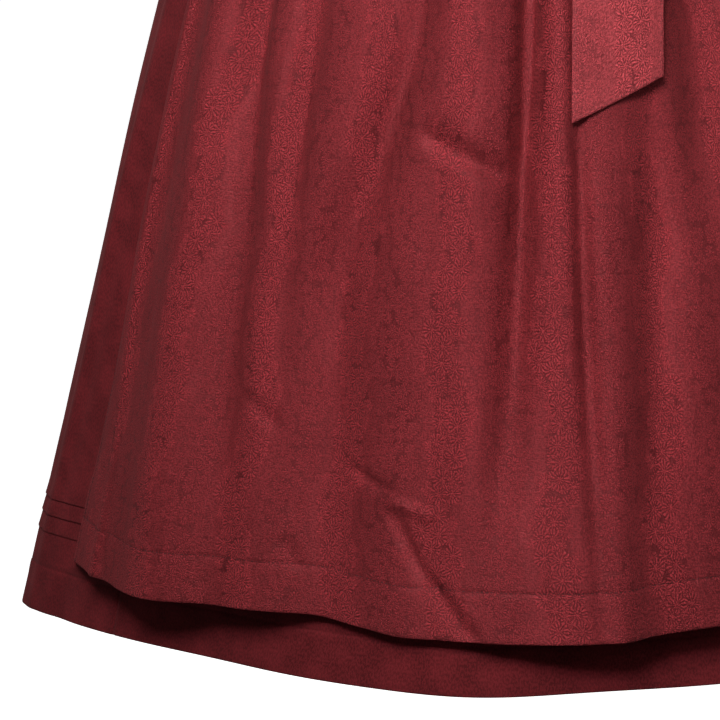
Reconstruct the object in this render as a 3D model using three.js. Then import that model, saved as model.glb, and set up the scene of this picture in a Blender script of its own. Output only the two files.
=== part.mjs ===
// Dirndl: a bodice with shoulder straps, a gathered skirt and a tied apron, filled out as when worn.
// Millimetres, +Z up. The wearer faces -Y, so +X is the wearer's left. The origin is the middle of
// the waist. Angles are in degrees round the body, 0 at the front and growing towards +X.
import * as THREE from 'three';

// ---------------------------------------------------------------- driving sizes

const CLOTH = 1.6;
const SEAM_GAP = 0.3;
const LYING_GAP = 0.8;
const APRON_GAP = 2.0;

const SKIRT_LENGTH = 713;
const SKIRT_HEM = 30;
const HEM_EXTRA = 0.8;
const TUCK_TOP = 625.5;
const TUCK_EDGES = [636.5, 647.5, 659];
const TUCK_STAND = 1.4;
const SEAM_ANGLES = { front: 52, back: 128 };

const APRON_LENGTH = 677;
const APRON_HEM = 31;
const APRON_EDGE = { waist: 60, hem: 63 };
const WAISTBAND = { top: 14, bottom: -16 };
const TIE = { top: 12, bottom: -14 };

const UNDERARM_SEAM = 92;
const PLACKET_WIDTH = 20;
const BUTTON = { radius: 7, rim: 1.4, dome: 3.4, first: 34, last: 186, count: 6 };
const BOW = { angle: 22, knotWidth: 32, knotHeight: 36, knotDepth: 18, ribbon: 57 };

// Level rings of the skirt. pinch flattens a ring between its front and its sides.
const SKIRT_RINGS = [
  { drop: 0, half: 135, front: 97, back: 97, frontPinch: 0, backPinch: 0 },
  { drop: 16, half: 141, front: 103, back: 104, frontPinch: 0.01, backPinch: 0.01 },
  { drop: 45, half: 158, front: 121, back: 124, frontPinch: 0.04, backPinch: 0.03 },
  { drop: 90, half: 180, front: 144, back: 148, frontPinch: 0.07, backPinch: 0.05 },
  { drop: 150, half: 203, front: 167, back: 172, frontPinch: 0.12, backPinch: 0.08 },
  { drop: 220, half: 225, front: 187, back: 193, frontPinch: 0.18, backPinch: 0.12 },
  { drop: 301, half: 246, front: 207, back: 213, frontPinch: 0.235, backPinch: 0.16 },
  { drop: 383, half: 266, front: 222, back: 229, frontPinch: 0.3, backPinch: 0.2 },
  { drop: 547, half: 303, front: 250, back: 259, frontPinch: 0.425, backPinch: 0.28 },
  { drop: 713, half: 342, front: 287, back: 294, frontPinch: 0.55, backPinch: 0.35 },
];

// Level rings of the bodice, upwards from the waist.
const BODICE_RINGS = [
  { rise: 0, half: 135, front: 97, back: 97 },
  { rise: 40, half: 138, front: 101, back: 99 },
  { rise: 90, half: 145, front: 112, back: 102 },
  { rise: 130, half: 151, front: 126, back: 106 },
  { rise: 165, half: 156, front: 137, back: 110 },
  { rise: 200, half: 157, front: 134, back: 112 },
  { rise: 240, half: 157, front: 121, back: 112 },
  { rise: 290, half: 158, front: 104, back: 108 },
];

// Top edge of the bodice round the body: neckline, strap seams, armholes and back neckline.
const TOP_EDGE = [
  { angle: 0, rise: 204 },
  { angle: 14, rise: 208 },
  { angle: 26, rise: 226 },
  { angle: 36, rise: 258 },
  { angle: 50, rise: 258 },
  { angle: 60, rise: 226 },
  { angle: 74, rise: 200 },
  { angle: 92, rise: 192 },
  { angle: 108, rise: 208 },
  { angle: 124, rise: 248 },
  { angle: 137, rise: 286 },
  { angle: 152, rise: 286 },
  { angle: 164, rise: 274 },
  { angle: 180, rise: 270 },
];
const STRAP_FRONT = { inner: 36, outer: 50 };
const STRAP_BACK = { inner: 152, outer: 137 };

// Ridges (stand > 0) and troughs of the skirt: angle at the waist and the hem, how far each stands
// out at the hem, its width in degrees, and the drop where it begins.
const SKIRT_FOLDS = [
  { waist: -11, hem: -11, stand: 7, width: 10, begins: 250 },
  { waist: 9, hem: 9, stand: -8, width: 11, begins: 250 },
  { waist: 27, hem: 29, stand: 6, width: 10, begins: 200 },
  { waist: 42, hem: 45, stand: -6, width: 9, begins: 200 },
  { waist: 58, hem: 61, stand: 6, width: 8, begins: 60 },
  { waist: 71, hem: 74, stand: -7, width: 7, begins: 60 },
  { waist: 84, hem: 86, stand: 5, width: 8, begins: 60 },
  { waist: 98, hem: 100, stand: -8, width: 7, begins: 60 },
  { waist: 109, hem: 112, stand: 10, width: 8, begins: 60 },
  { waist: 122, hem: 125, stand: -9, width: 7, begins: 60 },
  { waist: 134, hem: 137, stand: 9, width: 8, begins: 60 },
  { waist: 147, hem: 149, stand: -8, width: 7, begins: 60 },
  { waist: 159, hem: 160, stand: 11, width: 8, begins: 60 },
  { waist: 172, hem: 173, stand: -8, width: 7, begins: 60 },
  { waist: -175, hem: -175, stand: 11, width: 7, begins: 60 },
  { waist: -162, hem: -164, stand: -9, width: 8, begins: 60 },
  { waist: -150, hem: -152, stand: 9, width: 7, begins: 60 },
  { waist: -138, hem: -141, stand: -8, width: 7, begins: 60 },
  { waist: -127, hem: -130, stand: 10, width: 8, begins: 60 },
  { waist: -115, hem: -117, stand: -8, width: 7, begins: 60 },
  { waist: -102, hem: -104, stand: 8, width: 7, begins: 60 },
  { waist: -82, hem: -92, stand: -3, width: 6, begins: 90 },
  { waist: -74, hem: -84, stand: 4, width: 6, begins: 90 },
  { waist: -36, hem: -36, stand: -5, width: 10, begins: 250 },
];

// Ridges and troughs of the apron: angle where the bow's tail ends and at the hem, and how far each
// stands out at those two heights.
const TAIL_END_DROP = 330;
const APRON_FOLDS = [
  { high: -56, low: -50, highStand: -5, lowStand: -4, width: 4 },
  { high: -47, low: -40, highStand: 10, lowStand: 7, width: 5 },
  { high: -40, low: -33, highStand: -10, lowStand: -4, width: 4 },
  { high: -30, low: -30, highStand: -6, lowStand: 0, width: 4 },
  { high: -23, low: -25, highStand: 3, lowStand: 8, width: 5 },
  { high: -16, low: -13, highStand: -8, lowStand: -12, width: 4 },
  { high: -7, low: -4, highStand: 11, lowStand: 5, width: 6 },
  { high: 1, low: -3, highStand: -14, lowStand: -1, width: 3 },
  { high: 11, low: 9, highStand: 5, lowStand: 3, width: 4 },
  { high: 17, low: 13, highStand: -6, lowStand: -3, width: 4 },
  { high: 23, low: 20, highStand: 5, lowStand: 5, width: 5 },
  { high: 34, low: 34, highStand: -6, lowStand: -5, width: 4.5 },
  { high: 44, low: 43, highStand: 7, lowStand: 4, width: 5 },
  { high: 53, low: 52, highStand: -6, lowStand: -2, width: 4 },
];

// Where the apron's lower part stands off the skirt: middle, stand at the hem, width in degrees.
const APRON_LIFTS = [
  { angle: -43, stand: 16, width: 12 },
  { angle: -12, stand: -7, width: 12 },
  { angle: 8, stand: 13, width: 9 },
  { angle: 47, stand: 8, width: 11 },
];

// How far the hem is drawn up at each angle, as cloth that swings out is.
const HEM_RISE = [
  { angle: -64, rise: 6 },
  { angle: -57, rise: 6 },
  { angle: -48, rise: 4.5 },
  { angle: -36, rise: 5 },
  { angle: -24, rise: 9 },
  { angle: -17, rise: 6 },
  { angle: -11, rise: 0 },
  { angle: 8, rise: 1 },
  { angle: 16, rise: 4 },
  { angle: 30, rise: 8 },
  { angle: 64, rise: 8 },
];

// The bow's two tails: middle line, width and distance out at each drop.
const LONG_TAIL = {
  rows: [
    { drop: 20, angle: 19.6, width: 24, out: 8 },
    { drop: 60, angle: 18, width: 40, out: 17 },
    { drop: 120, angle: 16.3, width: 53, out: 22.5 },
    { drop: 200, angle: 14.4, width: 55.5, out: 23 },
    { drop: 280, angle: 13.1, width: 55.5, out: 23.5 },
    { drop: 359, angle: 12.1, width: 55.5, out: 24 },
  ],
  shortEdge: 331,
  longEdge: 359,
};
const SHORT_TAIL = {
  rows: [
    { drop: 20, angle: 30, width: 22, out: 8 },
    { drop: 60, angle: 33, width: 40, out: 17 },
    { drop: 120, angle: 36, width: 53, out: 23 },
    { drop: 200, angle: 39.5, width: 55.5, out: 24 },
    { drop: 280, angle: 42, width: 55.5, out: 25 },
    { drop: 338, angle: 43.5, width: 55.5, out: 26 },
  ],
  shortEdge: 338,
  longEdge: 312,
};

// ---------------------------------------------------------------- curves and rings

const lerp = THREE.MathUtils.lerp;
const smoothstep = THREE.MathUtils.smoothstep;

// The value of one column of a table at a place along it, on a smooth curve through its rows that
// never swings past them.
function along(table, key, column, place) {
  const last = table.length - 1;
  const at = THREE.MathUtils.clamp(place, table[0][key], table[last][key]);
  let i = 0;
  while (i < last - 1 && table[i + 1][key] < at) {
    i += 1;
  }
  const rate = (row) => {
    const next = THREE.MathUtils.clamp(row, 0, last - 1);
    return (table[next + 1][column] - table[next][column]) / (table[next + 1][key] - table[next][key]);
  };
  const slope = (row) => {
    const before = rate(row - 1);
    const after = rate(row);
    return before * after > 0 ? (2 * before * after) / (before + after) : 0;
  };
  const span = table[i + 1][key] - table[i][key];
  const t = (at - table[i][key]) / span;
  const bend = t * t * (3 - 2 * t);
  const lead = t * (1 - t) * (1 - t) * span * slope(i);
  const trail = t * t * (1 - t) * span * slope(i + 1);
  return lerp(table[i][column], table[i + 1][column], bend) + lead - trail;
}

// A point of a level ring, moved out square to the ring.
function ringPoint(ring, angle, out, z) {
  const turn = THREE.MathUtils.degToRad(angle);
  const sine = Math.sin(turn);
  const cosine = Math.cos(turn);
  const depth = cosine > 0 ? ring.front : ring.back;
  const pinch = cosine > 0 ? ring.frontPinch : ring.backPinch;
  const x = ring.half * sine;
  const y = -depth * cosine * (1 - pinch * sine * sine);
  const alongX = ring.half * cosine;
  const alongY = depth * sine * (1 - pinch * sine * sine + 2 * pinch * cosine * cosine);
  const length = Math.hypot(alongX, alongY);
  return new THREE.Vector3(x + (out * alongY) / length, y - (out * alongX) / length, z);
}

function skirtRing(drop) {
  const ring = {};
  for (const column of ['half', 'front', 'back', 'frontPinch', 'backPinch']) {
    ring[column] = along(SKIRT_RINGS, 'drop', column, drop);
  }
  return ring;
}

function bodiceRing(rise) {
  const ring = { frontPinch: 0, backPinch: 0 };
  for (const column of ['half', 'front', 'back']) {
    ring[column] = along(BODICE_RINGS, 'rise', column, rise);
  }
  return ring;
}

function skirtPoint(angle, drop, out) {
  return ringPoint(skirtRing(drop), angle, out, -drop);
}

function bodicePoint(angle, rise, out) {
  return ringPoint(bodiceRing(rise), angle, out, rise);
}

// The bands round the waist lie on the bodice above the waist seam and on the skirt below it.
function waistPoint(angle, z, out) {
  return z < 0 ? skirtPoint(angle, -z, out) : bodicePoint(angle, z, out);
}

// The same angle the short way round, from -180 to 180.
function shortWay(angle) {
  return THREE.MathUtils.euclideanModulo(angle + 180, 360) - 180;
}

// One rounded fold: 1 on its line and fading over its width.
function foldShape(angle, middle, width) {
  return Math.exp(-((shortWay(angle - middle) / width) ** 2));
}

// ---------------------------------------------------------------- cloth walls

function solid(name, positions, faces, material) {
  const geometry = new THREE.BufferGeometry();
  geometry.setAttribute('position', new THREE.Float32BufferAttribute(positions, 3));
  geometry.setIndex(faces);
  geometry.computeVertexNormals();
  const mesh = new THREE.Mesh(geometry, material);
  mesh.name = name;
  return mesh;
}

// A closed wall of cloth on a grid. place(u, v, depth) is a point of the wall, depth 0 on its
// outer face and 1 on its inner face. u runs to the left of someone who looks at the outer face
// from outside and v runs down, or u to the right and v up.
function clothWall(name, columns, rows, place, material) {
  const positions = [];
  for (const depth of [0, 1]) {
    for (const v of rows) {
      for (const u of columns) {
        positions.push(...place(u, v, depth).toArray());
      }
    }
  }
  const across = columns.length;
  const down = rows.length;
  const at = (i, j, depth) => (depth * down + j) * across + i;
  const faces = [];
  const quad = (a, b, c, d) => faces.push(a, b, c, a, c, d);
  for (let j = 0; j < down - 1; j += 1) {
    for (let i = 0; i < across - 1; i += 1) {
      quad(at(i, j, 0), at(i + 1, j, 0), at(i + 1, j + 1, 0), at(i, j + 1, 0));
      quad(at(i, j, 1), at(i, j + 1, 1), at(i + 1, j + 1, 1), at(i + 1, j, 1));
    }
  }
  for (let i = 0; i < across - 1; i += 1) {
    quad(at(i, 0, 0), at(i, 0, 1), at(i + 1, 0, 1), at(i + 1, 0, 0));
    quad(at(i, down - 1, 0), at(i + 1, down - 1, 0), at(i + 1, down - 1, 1), at(i, down - 1, 1));
  }
  for (let j = 0; j < down - 1; j += 1) {
    quad(at(0, j, 0), at(0, j + 1, 0), at(0, j + 1, 1), at(0, j, 1));
    quad(at(across - 1, j, 0), at(across - 1, j, 1), at(across - 1, j + 1, 1), at(across - 1, j + 1, 0));
  }
  return solid(name, positions, faces, material);
}

// Evenly spaced places from first to last.
function steps(first, last, count) {
  return Array.from({ length: count + 1 }, (unused, i) => lerp(first, last, i / count));
}

// ---------------------------------------------------------------- materials

function fabric(colour, roughness) {
  return new THREE.MeshStandardMaterial({ color: colour, roughness, metalness: 0 });
}

const SKIRT_CLOTH = fabric(0x5a1d21, 0.9);
const APRON_CLOTH = fabric(0x7d2c31, 0.6);
const RIBBON_CLOTH = fabric(0x8b3a3f, 0.55);
const BODICE_CLOTH = fabric(0x65231f, 0.85);
const PEWTER = new THREE.MeshStandardMaterial({ color: 0x8c8a86, roughness: 0.4, metalness: 1 });

const dirndl = new THREE.Group();

// ---------------------------------------------------------------- skirt

const SKIRT_COLUMN = 5.3;
const SKIRT_DROPS = [
  SEAM_GAP / 2, 16, 45, 90, 150, 220, 301, 383, 547, TUCK_TOP,
  ...TUCK_EDGES.flatMap((edge) => [edge - 0.2, edge + 0.2]),
  SKIRT_LENGTH - SKIRT_HEM, SKIRT_LENGTH,
];

function skirtFold(angle, drop) {
  let stand = 0;
  for (const fold of SKIRT_FOLDS) {
    const middle = lerp(fold.waist, fold.hem, drop / SKIRT_LENGTH);
    const growth = smoothstep(drop, fold.begins, SKIRT_LENGTH) ** 0.7;
    stand += fold.stand * growth * foldShape(angle, middle, fold.width);
  }
  return stand;
}

// Each tuck stands proud at its folded lower edge and dies away upwards to the one above it.
function tuckStand(drop) {
  const tops = [TUCK_TOP, ...TUCK_EDGES];
  for (let i = 0; i < TUCK_EDGES.length; i += 1) {
    if (drop > tops[i] && drop < TUCK_EDGES[i]) {
      return (TUCK_STAND * (drop - tops[i])) / (TUCK_EDGES[i] - tops[i]);
    }
  }
  return 0;
}

// A width of the skirt between two seams, each seam keeping half the gap.
function skirtWidth(name, from, to) {
  const count = Math.round((to - from) / SKIRT_COLUMN);
  const inner = (drop) => CLOTH + (drop > SKIRT_LENGTH - SKIRT_HEM ? HEM_EXTRA : 0);
  const place = (angle, drop, depth) => {
    const near = skirtPoint(angle, drop, 0);
    const perDegree = skirtPoint(angle + 1, drop, 0).distanceTo(near);
    const half = SEAM_GAP / 2 / perDegree;
    const inset = THREE.MathUtils.clamp(angle, from + half, to - half);
    const out = skirtFold(inset, drop);
    return skirtPoint(inset, drop, depth ? out - inner(drop) : out + tuckStand(drop));
  };
  const down = [...SKIRT_DROPS].reverse();
  return clothWall(name, steps(from, to, count), down, place, SKIRT_CLOTH);
}

dirndl.add(
  skirtWidth('skirt_front', -SEAM_ANGLES.front, SEAM_ANGLES.front),
  skirtWidth('skirt_side_left', SEAM_ANGLES.front, SEAM_ANGLES.back),
  skirtWidth('skirt_back', SEAM_ANGLES.back, 360 - SEAM_ANGLES.back),
  skirtWidth('skirt_side_right', -SEAM_ANGLES.back, -SEAM_ANGLES.front),
);

// ---------------------------------------------------------------- apron

const APRON_DROPS = [
  -WAISTBAND.bottom + SEAM_GAP, 45, 90, 150, 220, 301, 383, 465, 547, 610,
  APRON_LENGTH - APRON_HEM, APRON_LENGTH,
];
const APRON_COLUMNS = 40;

function apronEdge(drop) {
  return lerp(APRON_EDGE.waist, APRON_EDGE.hem, smoothstep(drop, 20, 400));
}

function apronFold(angle, drop) {
  const lowness = THREE.MathUtils.clamp((drop - TAIL_END_DROP) / (APRON_LENGTH - TAIL_END_DROP), 0, 1);
  const gathered = smoothstep(drop, 0, 180);
  let stand = 0;
  for (const fold of APRON_FOLDS) {
    const middle = lerp(fold.high, fold.low, lowness);
    const height = lerp(fold.highStand, fold.lowStand, lowness);
    stand += height * gathered * foldShape(angle, middle, fold.width);
  }
  return stand;
}

// The inner face keeps clear of the skirt; the free side edges lie back on it.
function apronInner(angle, drop) {
  const lowness = smoothstep(drop, 260, APRON_LENGTH);
  const gap = lerp(LYING_GAP, APRON_GAP, smoothstep(drop, 16, 150));
  const clear = skirtFold(angle, drop) + Math.max(tuckStand(drop), 0) + gap;
  const reach = lerp(5, 10, smoothstep(drop, 430, 640));
  const edge = THREE.MathUtils.clamp((apronEdge(drop) - Math.abs(angle)) / reach, 0, 1);
  let wanted = gap + 12 * smoothstep(drop, 30, 200) + apronFold(angle, drop);
  for (const lift of APRON_LIFTS) {
    wanted += lift.stand * lowness * foldShape(angle, lift.angle, lift.width);
  }
  return Math.max(clear, lerp(clear, wanted, edge));
}

function apronPlace(u, drop, depth) {
  const angle = u * apronEdge(drop);
  const rise = along(HEM_RISE, 'angle', 'rise', angle) * smoothstep(drop, 420, APRON_LENGTH);
  return skirtPoint(angle, drop - rise, apronInner(angle, drop) + (depth ? 0 : CLOTH));
}

dirndl.add(clothWall(
  'apron_panel', steps(-1, 1, APRON_COLUMNS), [...APRON_DROPS].reverse(), apronPlace, APRON_CLOTH,
));

// ---------------------------------------------------------------- apron waistband and ties

// The waistband is a straight band, so it has rows only at its two edges.
dirndl.add(clothWall(
  'apron_waistband',
  steps(-APRON_EDGE.waist, APRON_EDGE.waist, 28),
  [WAISTBAND.bottom, WAISTBAND.top],
  (angle, z, depth) => waistPoint(angle, z, LYING_GAP + (depth ? 0 : CLOTH)),
  APRON_CLOTH,
));

// Each tie leaves its end of the waistband, goes round the back, passes the other tie there and
// comes back over the waistband to the bow. Before the crossing it lies on the dress, and after it
// on the other tie. At the crossing both are bunched to half their height, one above the other.
const CROSSING = { bunch: 34, pass: 8, half: 0.4 };
const SECOND_LAYER = CLOTH + 0.9;
const KNOT_HALF_ANGLE = 8.5;

function tie(name, side, end) {
  const start = APRON_EDGE.waist + 0.15;
  const place = (turn, edge, depth) => {
    const past = turn - 180;
    const layer = smoothstep(past, -CROSSING.pass, CROSSING.pass);
    const bunched = 1 - smoothstep(Math.abs(past), CROSSING.pass, CROSSING.bunch);
    const top = side > 0 ? TIE.top : lerp(TIE.top, -CROSSING.half - 1, bunched);
    const bottom = side > 0 ? lerp(TIE.bottom, CROSSING.half - 1, bunched) : TIE.bottom;
    const out = LYING_GAP + layer * SECOND_LAYER + (depth ? 0 : CLOTH);
    const upper = waistPoint(side * turn, TIE.top, out);
    const lower = waistPoint(side * turn, TIE.bottom, out);
    const z = edge ? top : bottom;
    return lower.lerp(upper, (z - TIE.bottom) / (TIE.top - TIE.bottom));
  };
  const turns = [
    ...steps(start, 180 - CROSSING.bunch, 10),
    ...steps(180 - CROSSING.bunch, 180 + CROSSING.bunch, 12).slice(1),
    ...steps(180 + CROSSING.bunch, end, 20).slice(1),
  ];
  const rightwards = side > 0 ? turns : turns.reverse();
  return clothWall(name, rightwards, [0, 1], place, RIBBON_CLOTH);
}

dirndl.add(
  tie('tie_left', 1, 360 + BOW.angle - KNOT_HALF_ANGLE),
  tie('tie_right', -1, 360 - BOW.angle - KNOT_HALF_ANGLE),
);

// ---------------------------------------------------------------- bow

// The bow has axes of its own: x across, y into the body and z up, leaning out over the skirt.
const BOW_LEAN = THREE.MathUtils.degToRad(-16);
const BOW_OUT = 20;
const bow = new THREE.Group();
const bowSeat = waistPoint(BOW.angle, 0, BOW_OUT);
const bowNormal = waistPoint(BOW.angle, 0, BOW_OUT + 1).sub(bowSeat);
bow.position.copy(bowSeat);
bow.rotation.set(BOW_LEAN, 0, Math.atan2(bowNormal.x, -bowNormal.y), 'ZXY');
dirndl.add(bow);

// The knot is a rounded block: a ball drawn out towards its corners.
function knotGeometry() {
  const geometry = new THREE.SphereGeometry(1, 12, 8);
  const position = geometry.getAttribute('position');
  const squareness = 0.62;
  const draw = (value) => Math.sign(value) * Math.abs(value) ** squareness;
  for (let i = 0; i < position.count; i += 1) {
    const x = (draw(position.getX(i)) * BOW.knotWidth) / 2;
    const y = (draw(position.getZ(i)) * BOW.knotDepth) / 2;
    const z = (draw(position.getY(i)) * BOW.knotHeight) / 2;
    position.setXYZ(i, x, -y, z);
  }
  geometry.computeVertexNormals();
  return geometry;
}

const knot = new THREE.Mesh(knotGeometry(), RIBBON_CLOTH);
knot.name = 'bow_knot';
bow.add(knot);

// A loop is a length of ribbon that leaves the knot, turns back on itself and returns, narrow at
// the knot and full at the turn. t runs along the ribbon.
const LOOP = { reach: 125, spread: 11, droop: 0.12, follow: 0.0018 };

function bowLoop(name, side) {
  const place = (t, v, depth) => {
    const open = Math.sin(Math.PI * t);
    const inset = depth ? CLOTH : 0;
    const middle = (1 - open ** 1.5) * (BOW.knotWidth / 2 + SEAM_GAP + 0.4);
    const reach = middle + (LOOP.reach - inset) * open ** 1.5 * (2 - open) ** 0.5;
    const ply = LOOP.spread - inset;
    const fullness = Math.sign(Math.cos(Math.PI * t)) * Math.abs(Math.sin(2 * Math.PI * t));
    const shift = (ply - 3) * fullness + (t < 0.5 ? 3 - inset : -3 + inset) * (1 - open ** 2);
    const halfHeight = lerp(BOW.knotHeight * 0.36, BOW.ribbon / 2, open ** 0.8);
    const drop = LOOP.droop * reach;
    const back = LOOP.follow * reach * reach;
    return new THREE.Vector3(side * reach, -shift + back, (v - 0.5) * 2 * halfHeight - drop);
  };
  const turns = side > 0 ? steps(0, 1, 16) : steps(1, 0, 16);
  return clothWall(name, turns, [0, 0.5, 1], place, RIBBON_CLOTH);
}

bow.add(bowLoop('bow_loop_left', 1), bowLoop('bow_loop_right', -1));

// A tail hangs from under the knot, over the apron, and is cut off slantwise.
function bowTail(name, tail) {
  const top = tail.rows[0].drop;
  const place = (u, v, depth) => {
    const end = lerp(tail.longEdge, tail.shortEdge, u);
    const drop = lerp(top, end, v);
    const middle = along(tail.rows, 'drop', 'angle', drop);
    const near = skirtPoint(middle, drop, 0);
    const perDegree = skirtPoint(middle + 1, drop, 0).distanceTo(near);
    const angle = middle + ((u - 0.5) * along(tail.rows, 'drop', 'width', drop)) / perDegree;
    return skirtPoint(angle, drop, along(tail.rows, 'drop', 'out', drop) + (depth ? 0 : CLOTH));
  };
  return clothWall(name, steps(0, 1, 4), steps(1, 0, 7), place, RIBBON_CLOTH);
}

dirndl.add(bowTail('bow_tail_long', LONG_TAIL), bowTail('bow_tail_short', SHORT_TAIL));

// ---------------------------------------------------------------- bodice

// Seam lines of the bodice: their angle at the waist and at the top edge.
const PRINCESS_SEAM = { waist: 26, top: 53 };
const BACK_SEAM = { waist: 155, top: 134 };

function topEdge(angle) {
  return along(TOP_EDGE, 'angle', 'rise', Math.abs(shortWay(angle)));
}

// A panel of the bodice between two seams. Each seam is a pair of angles, at the waist and the top,
// and corners are the angles along the top edge where the panel has columns.
const BODICE_ROWS = steps(0, 1, 6);

function bodicePanel(name, left, right, corners) {
  const place = (u, v, depth) => {
    const bent = v ** 1.25;
    const from = lerp(left.waist, left.top, bent);
    const to = lerp(right.waist, right.top, bent);
    const rise = Math.max(v * topEdge(lerp(left.top, right.top, u)), SEAM_GAP / 2);
    const start = bodicePoint(from, rise, 0);
    const perDegree = bodicePoint(from + 1, rise, 0).distanceTo(start);
    const half = SEAM_GAP / 2 / perDegree;
    const angle = THREE.MathUtils.clamp(lerp(from, to, u), from + half, to - half);
    return bodicePoint(angle, rise, depth ? -CLOTH : 0);
  };
  const columns = corners.map((corner) => (corner - left.top) / (right.top - left.top));
  return clothWall(name, columns, BODICE_ROWS, place, BODICE_CLOTH);
}

const UNDERARM = { waist: UNDERARM_SEAM, top: UNDERARM_SEAM };
const MIDDLE = { waist: 0, top: 0 };
const FRONT_CORNERS = [0, 8, 17, 26, STRAP_FRONT.inner, 43, STRAP_FRONT.outer, PRINCESS_SEAM.top];
const SIDE_FRONT_CORNERS = steps(PRINCESS_SEAM.top, UNDERARM_SEAM, 5);
const SIDE_BACK_CORNERS = steps(UNDERARM_SEAM, BACK_SEAM.top, 5);
const BACK_CORNERS = [BACK_SEAM.top, STRAP_BACK.outer, 144.5, STRAP_BACK.inner, 164];

function mirroredSeam(seam) {
  return { waist: -seam.waist, top: -seam.top };
}

function mirroredCorners(corners) {
  return corners.map((corner) => -corner).reverse();
}

const OTHER_BACK_SEAM = { waist: 360 - BACK_SEAM.waist, top: 360 - BACK_SEAM.top };
const ALL_BACK_CORNERS = [...BACK_CORNERS, 180, ...BACK_CORNERS.map((corner) => 360 - corner).reverse()];
const FAR_UNDERARM = mirroredSeam(UNDERARM);
const FAR_PRINCESS = mirroredSeam(PRINCESS_SEAM);
const FAR_BACK_SEAM = mirroredSeam(BACK_SEAM);

dirndl.add(
  bodicePanel('bodice_front_left', MIDDLE, PRINCESS_SEAM, FRONT_CORNERS),
  bodicePanel('bodice_front_right', FAR_PRINCESS, MIDDLE, mirroredCorners(FRONT_CORNERS)),
  bodicePanel('bodice_side_front_left', PRINCESS_SEAM, UNDERARM, SIDE_FRONT_CORNERS),
  bodicePanel('bodice_side_front_right', FAR_UNDERARM, FAR_PRINCESS, mirroredCorners(SIDE_FRONT_CORNERS)),
  bodicePanel('bodice_side_back_left', UNDERARM, BACK_SEAM, SIDE_BACK_CORNERS),
  bodicePanel('bodice_side_back_right', FAR_BACK_SEAM, FAR_UNDERARM, mirroredCorners(SIDE_BACK_CORNERS)),
  bodicePanel('bodice_back', BACK_SEAM, OTHER_BACK_SEAM, ALL_BACK_CORNERS),
);

// ---------------------------------------------------------------- shoulder straps

// Sections of the left strap on its way over the shoulder: its edge by the neck and by the arm.
const STRAP_SECTIONS = [
  { neck: [89, -83, 300], arm: [124, -64, 296] },
  { neck: [87, -62, 348], arm: [128, -50, 338] },
  { neck: [84, -20, 386], arm: [130, -16, 370] },
  { neck: [81, 28, 390], arm: [128, 26, 374] },
  { neck: [77, 68, 355], arm: [122, 60, 344] },
  { neck: [74, 87, 318], arm: [112, 74, 314] },
];
const STRAP_CROWN = 1.2;

function shoulderStrap(name, side) {
  const edgeCurve = (edge, frontAngle, backAngle) => {
    const seamPoint = (angle) => {
      const rise = topEdge(angle);
      return bodicePoint(angle, rise, 0).setZ(rise + SEAM_GAP);
    };
    const between = STRAP_SECTIONS.map((section) => new THREE.Vector3(...section[edge]));
    return new THREE.CatmullRomCurve3([seamPoint(frontAngle), ...between, seamPoint(backAngle)]);
  };
  const neckEdge = edgeCurve('neck', STRAP_FRONT.inner, STRAP_BACK.inner);
  const armEdge = edgeCurve('arm', STRAP_FRONT.outer, STRAP_BACK.outer);
  const place = (u, v, depth) => {
    const neck = neckEdge.getPoint(v);
    const arm = armEdge.getPoint(v);
    const along = neckEdge.getTangent(v).add(armEdge.getTangent(v));
    const across = arm.clone().sub(neck);
    const outward = across.clone().cross(along).normalize();
    if (v === 0 || v === 1) {
      outward.setZ(0).normalize();
    }
    const crown = STRAP_CROWN * Math.sin(Math.PI * u) * Math.sin(Math.PI * v);
    const point = neck.addScaledVector(across, u).addScaledVector(outward, crown - depth * CLOTH);
    return point.setX(side * point.x);
  };
  return clothWall(name, side > 0 ? [0, 0.5, 1] : [1, 0.5, 0], steps(0, 1, 10), place, BODICE_CLOTH);
}

dirndl.add(shoulderStrap('strap_left', 1), shoulderStrap('strap_right', -1));

// ---------------------------------------------------------------- front closing

// The placket lies over the middle seam on the points of the two front panels, moved out.
function placket() {
  const perDegree = bodicePoint(1, BUTTON.first, 0).distanceTo(bodicePoint(0, BUTTON.first, 0));
  const halfAngle = PLACKET_WIDTH / 2 / perDegree;
  const place = (angle, v, depth) => {
    const rise = Math.max(v * topEdge(angle), WAISTBAND.top + SEAM_GAP);
    return bodicePoint(angle, rise, LYING_GAP + (depth ? 0 : CLOTH));
  };
  return clothWall('button_placket', steps(-halfAngle, halfAngle, 4), BODICE_ROWS, place, BODICE_CLOTH);
}

function buttonGeometry() {
  const profile = [new THREE.Vector2(0, 0), new THREE.Vector2(BUTTON.radius, 0)];
  for (const lift of steps(0, 1, 4)) {
    const radius = BUTTON.radius * Math.cos((lift * Math.PI) / 2);
    const height = lerp(BUTTON.rim, BUTTON.dome, Math.sin((lift * Math.PI) / 2));
    profile.push(new THREE.Vector2(lift === 1 ? 0 : radius, height));
  }
  return new THREE.LatheGeometry(profile, 16);
}

function button(number, rise) {
  const out = LYING_GAP + CLOTH + SEAM_GAP + 0.2;
  const above = bodicePoint(0, rise + BUTTON.radius, out);
  const below = bodicePoint(0, rise - BUTTON.radius, out);
  const upwards = above.clone().sub(below).normalize();
  const mesh = new THREE.Mesh(buttonGeometry(), PEWTER);
  mesh.name = `button_${number}`;
  mesh.position.copy(above.lerp(below, 0.5));
  mesh.quaternion.setFromUnitVectors(new THREE.Vector3(0, 1, 0), new THREE.Vector3(0, -upwards.z, upwards.y));
  return mesh;
}

dirndl.add(placket());
steps(BUTTON.first, BUTTON.last, BUTTON.count - 1).forEach((rise, i) => dirndl.add(button(i + 1, rise)));

export default dirndl;
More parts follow.
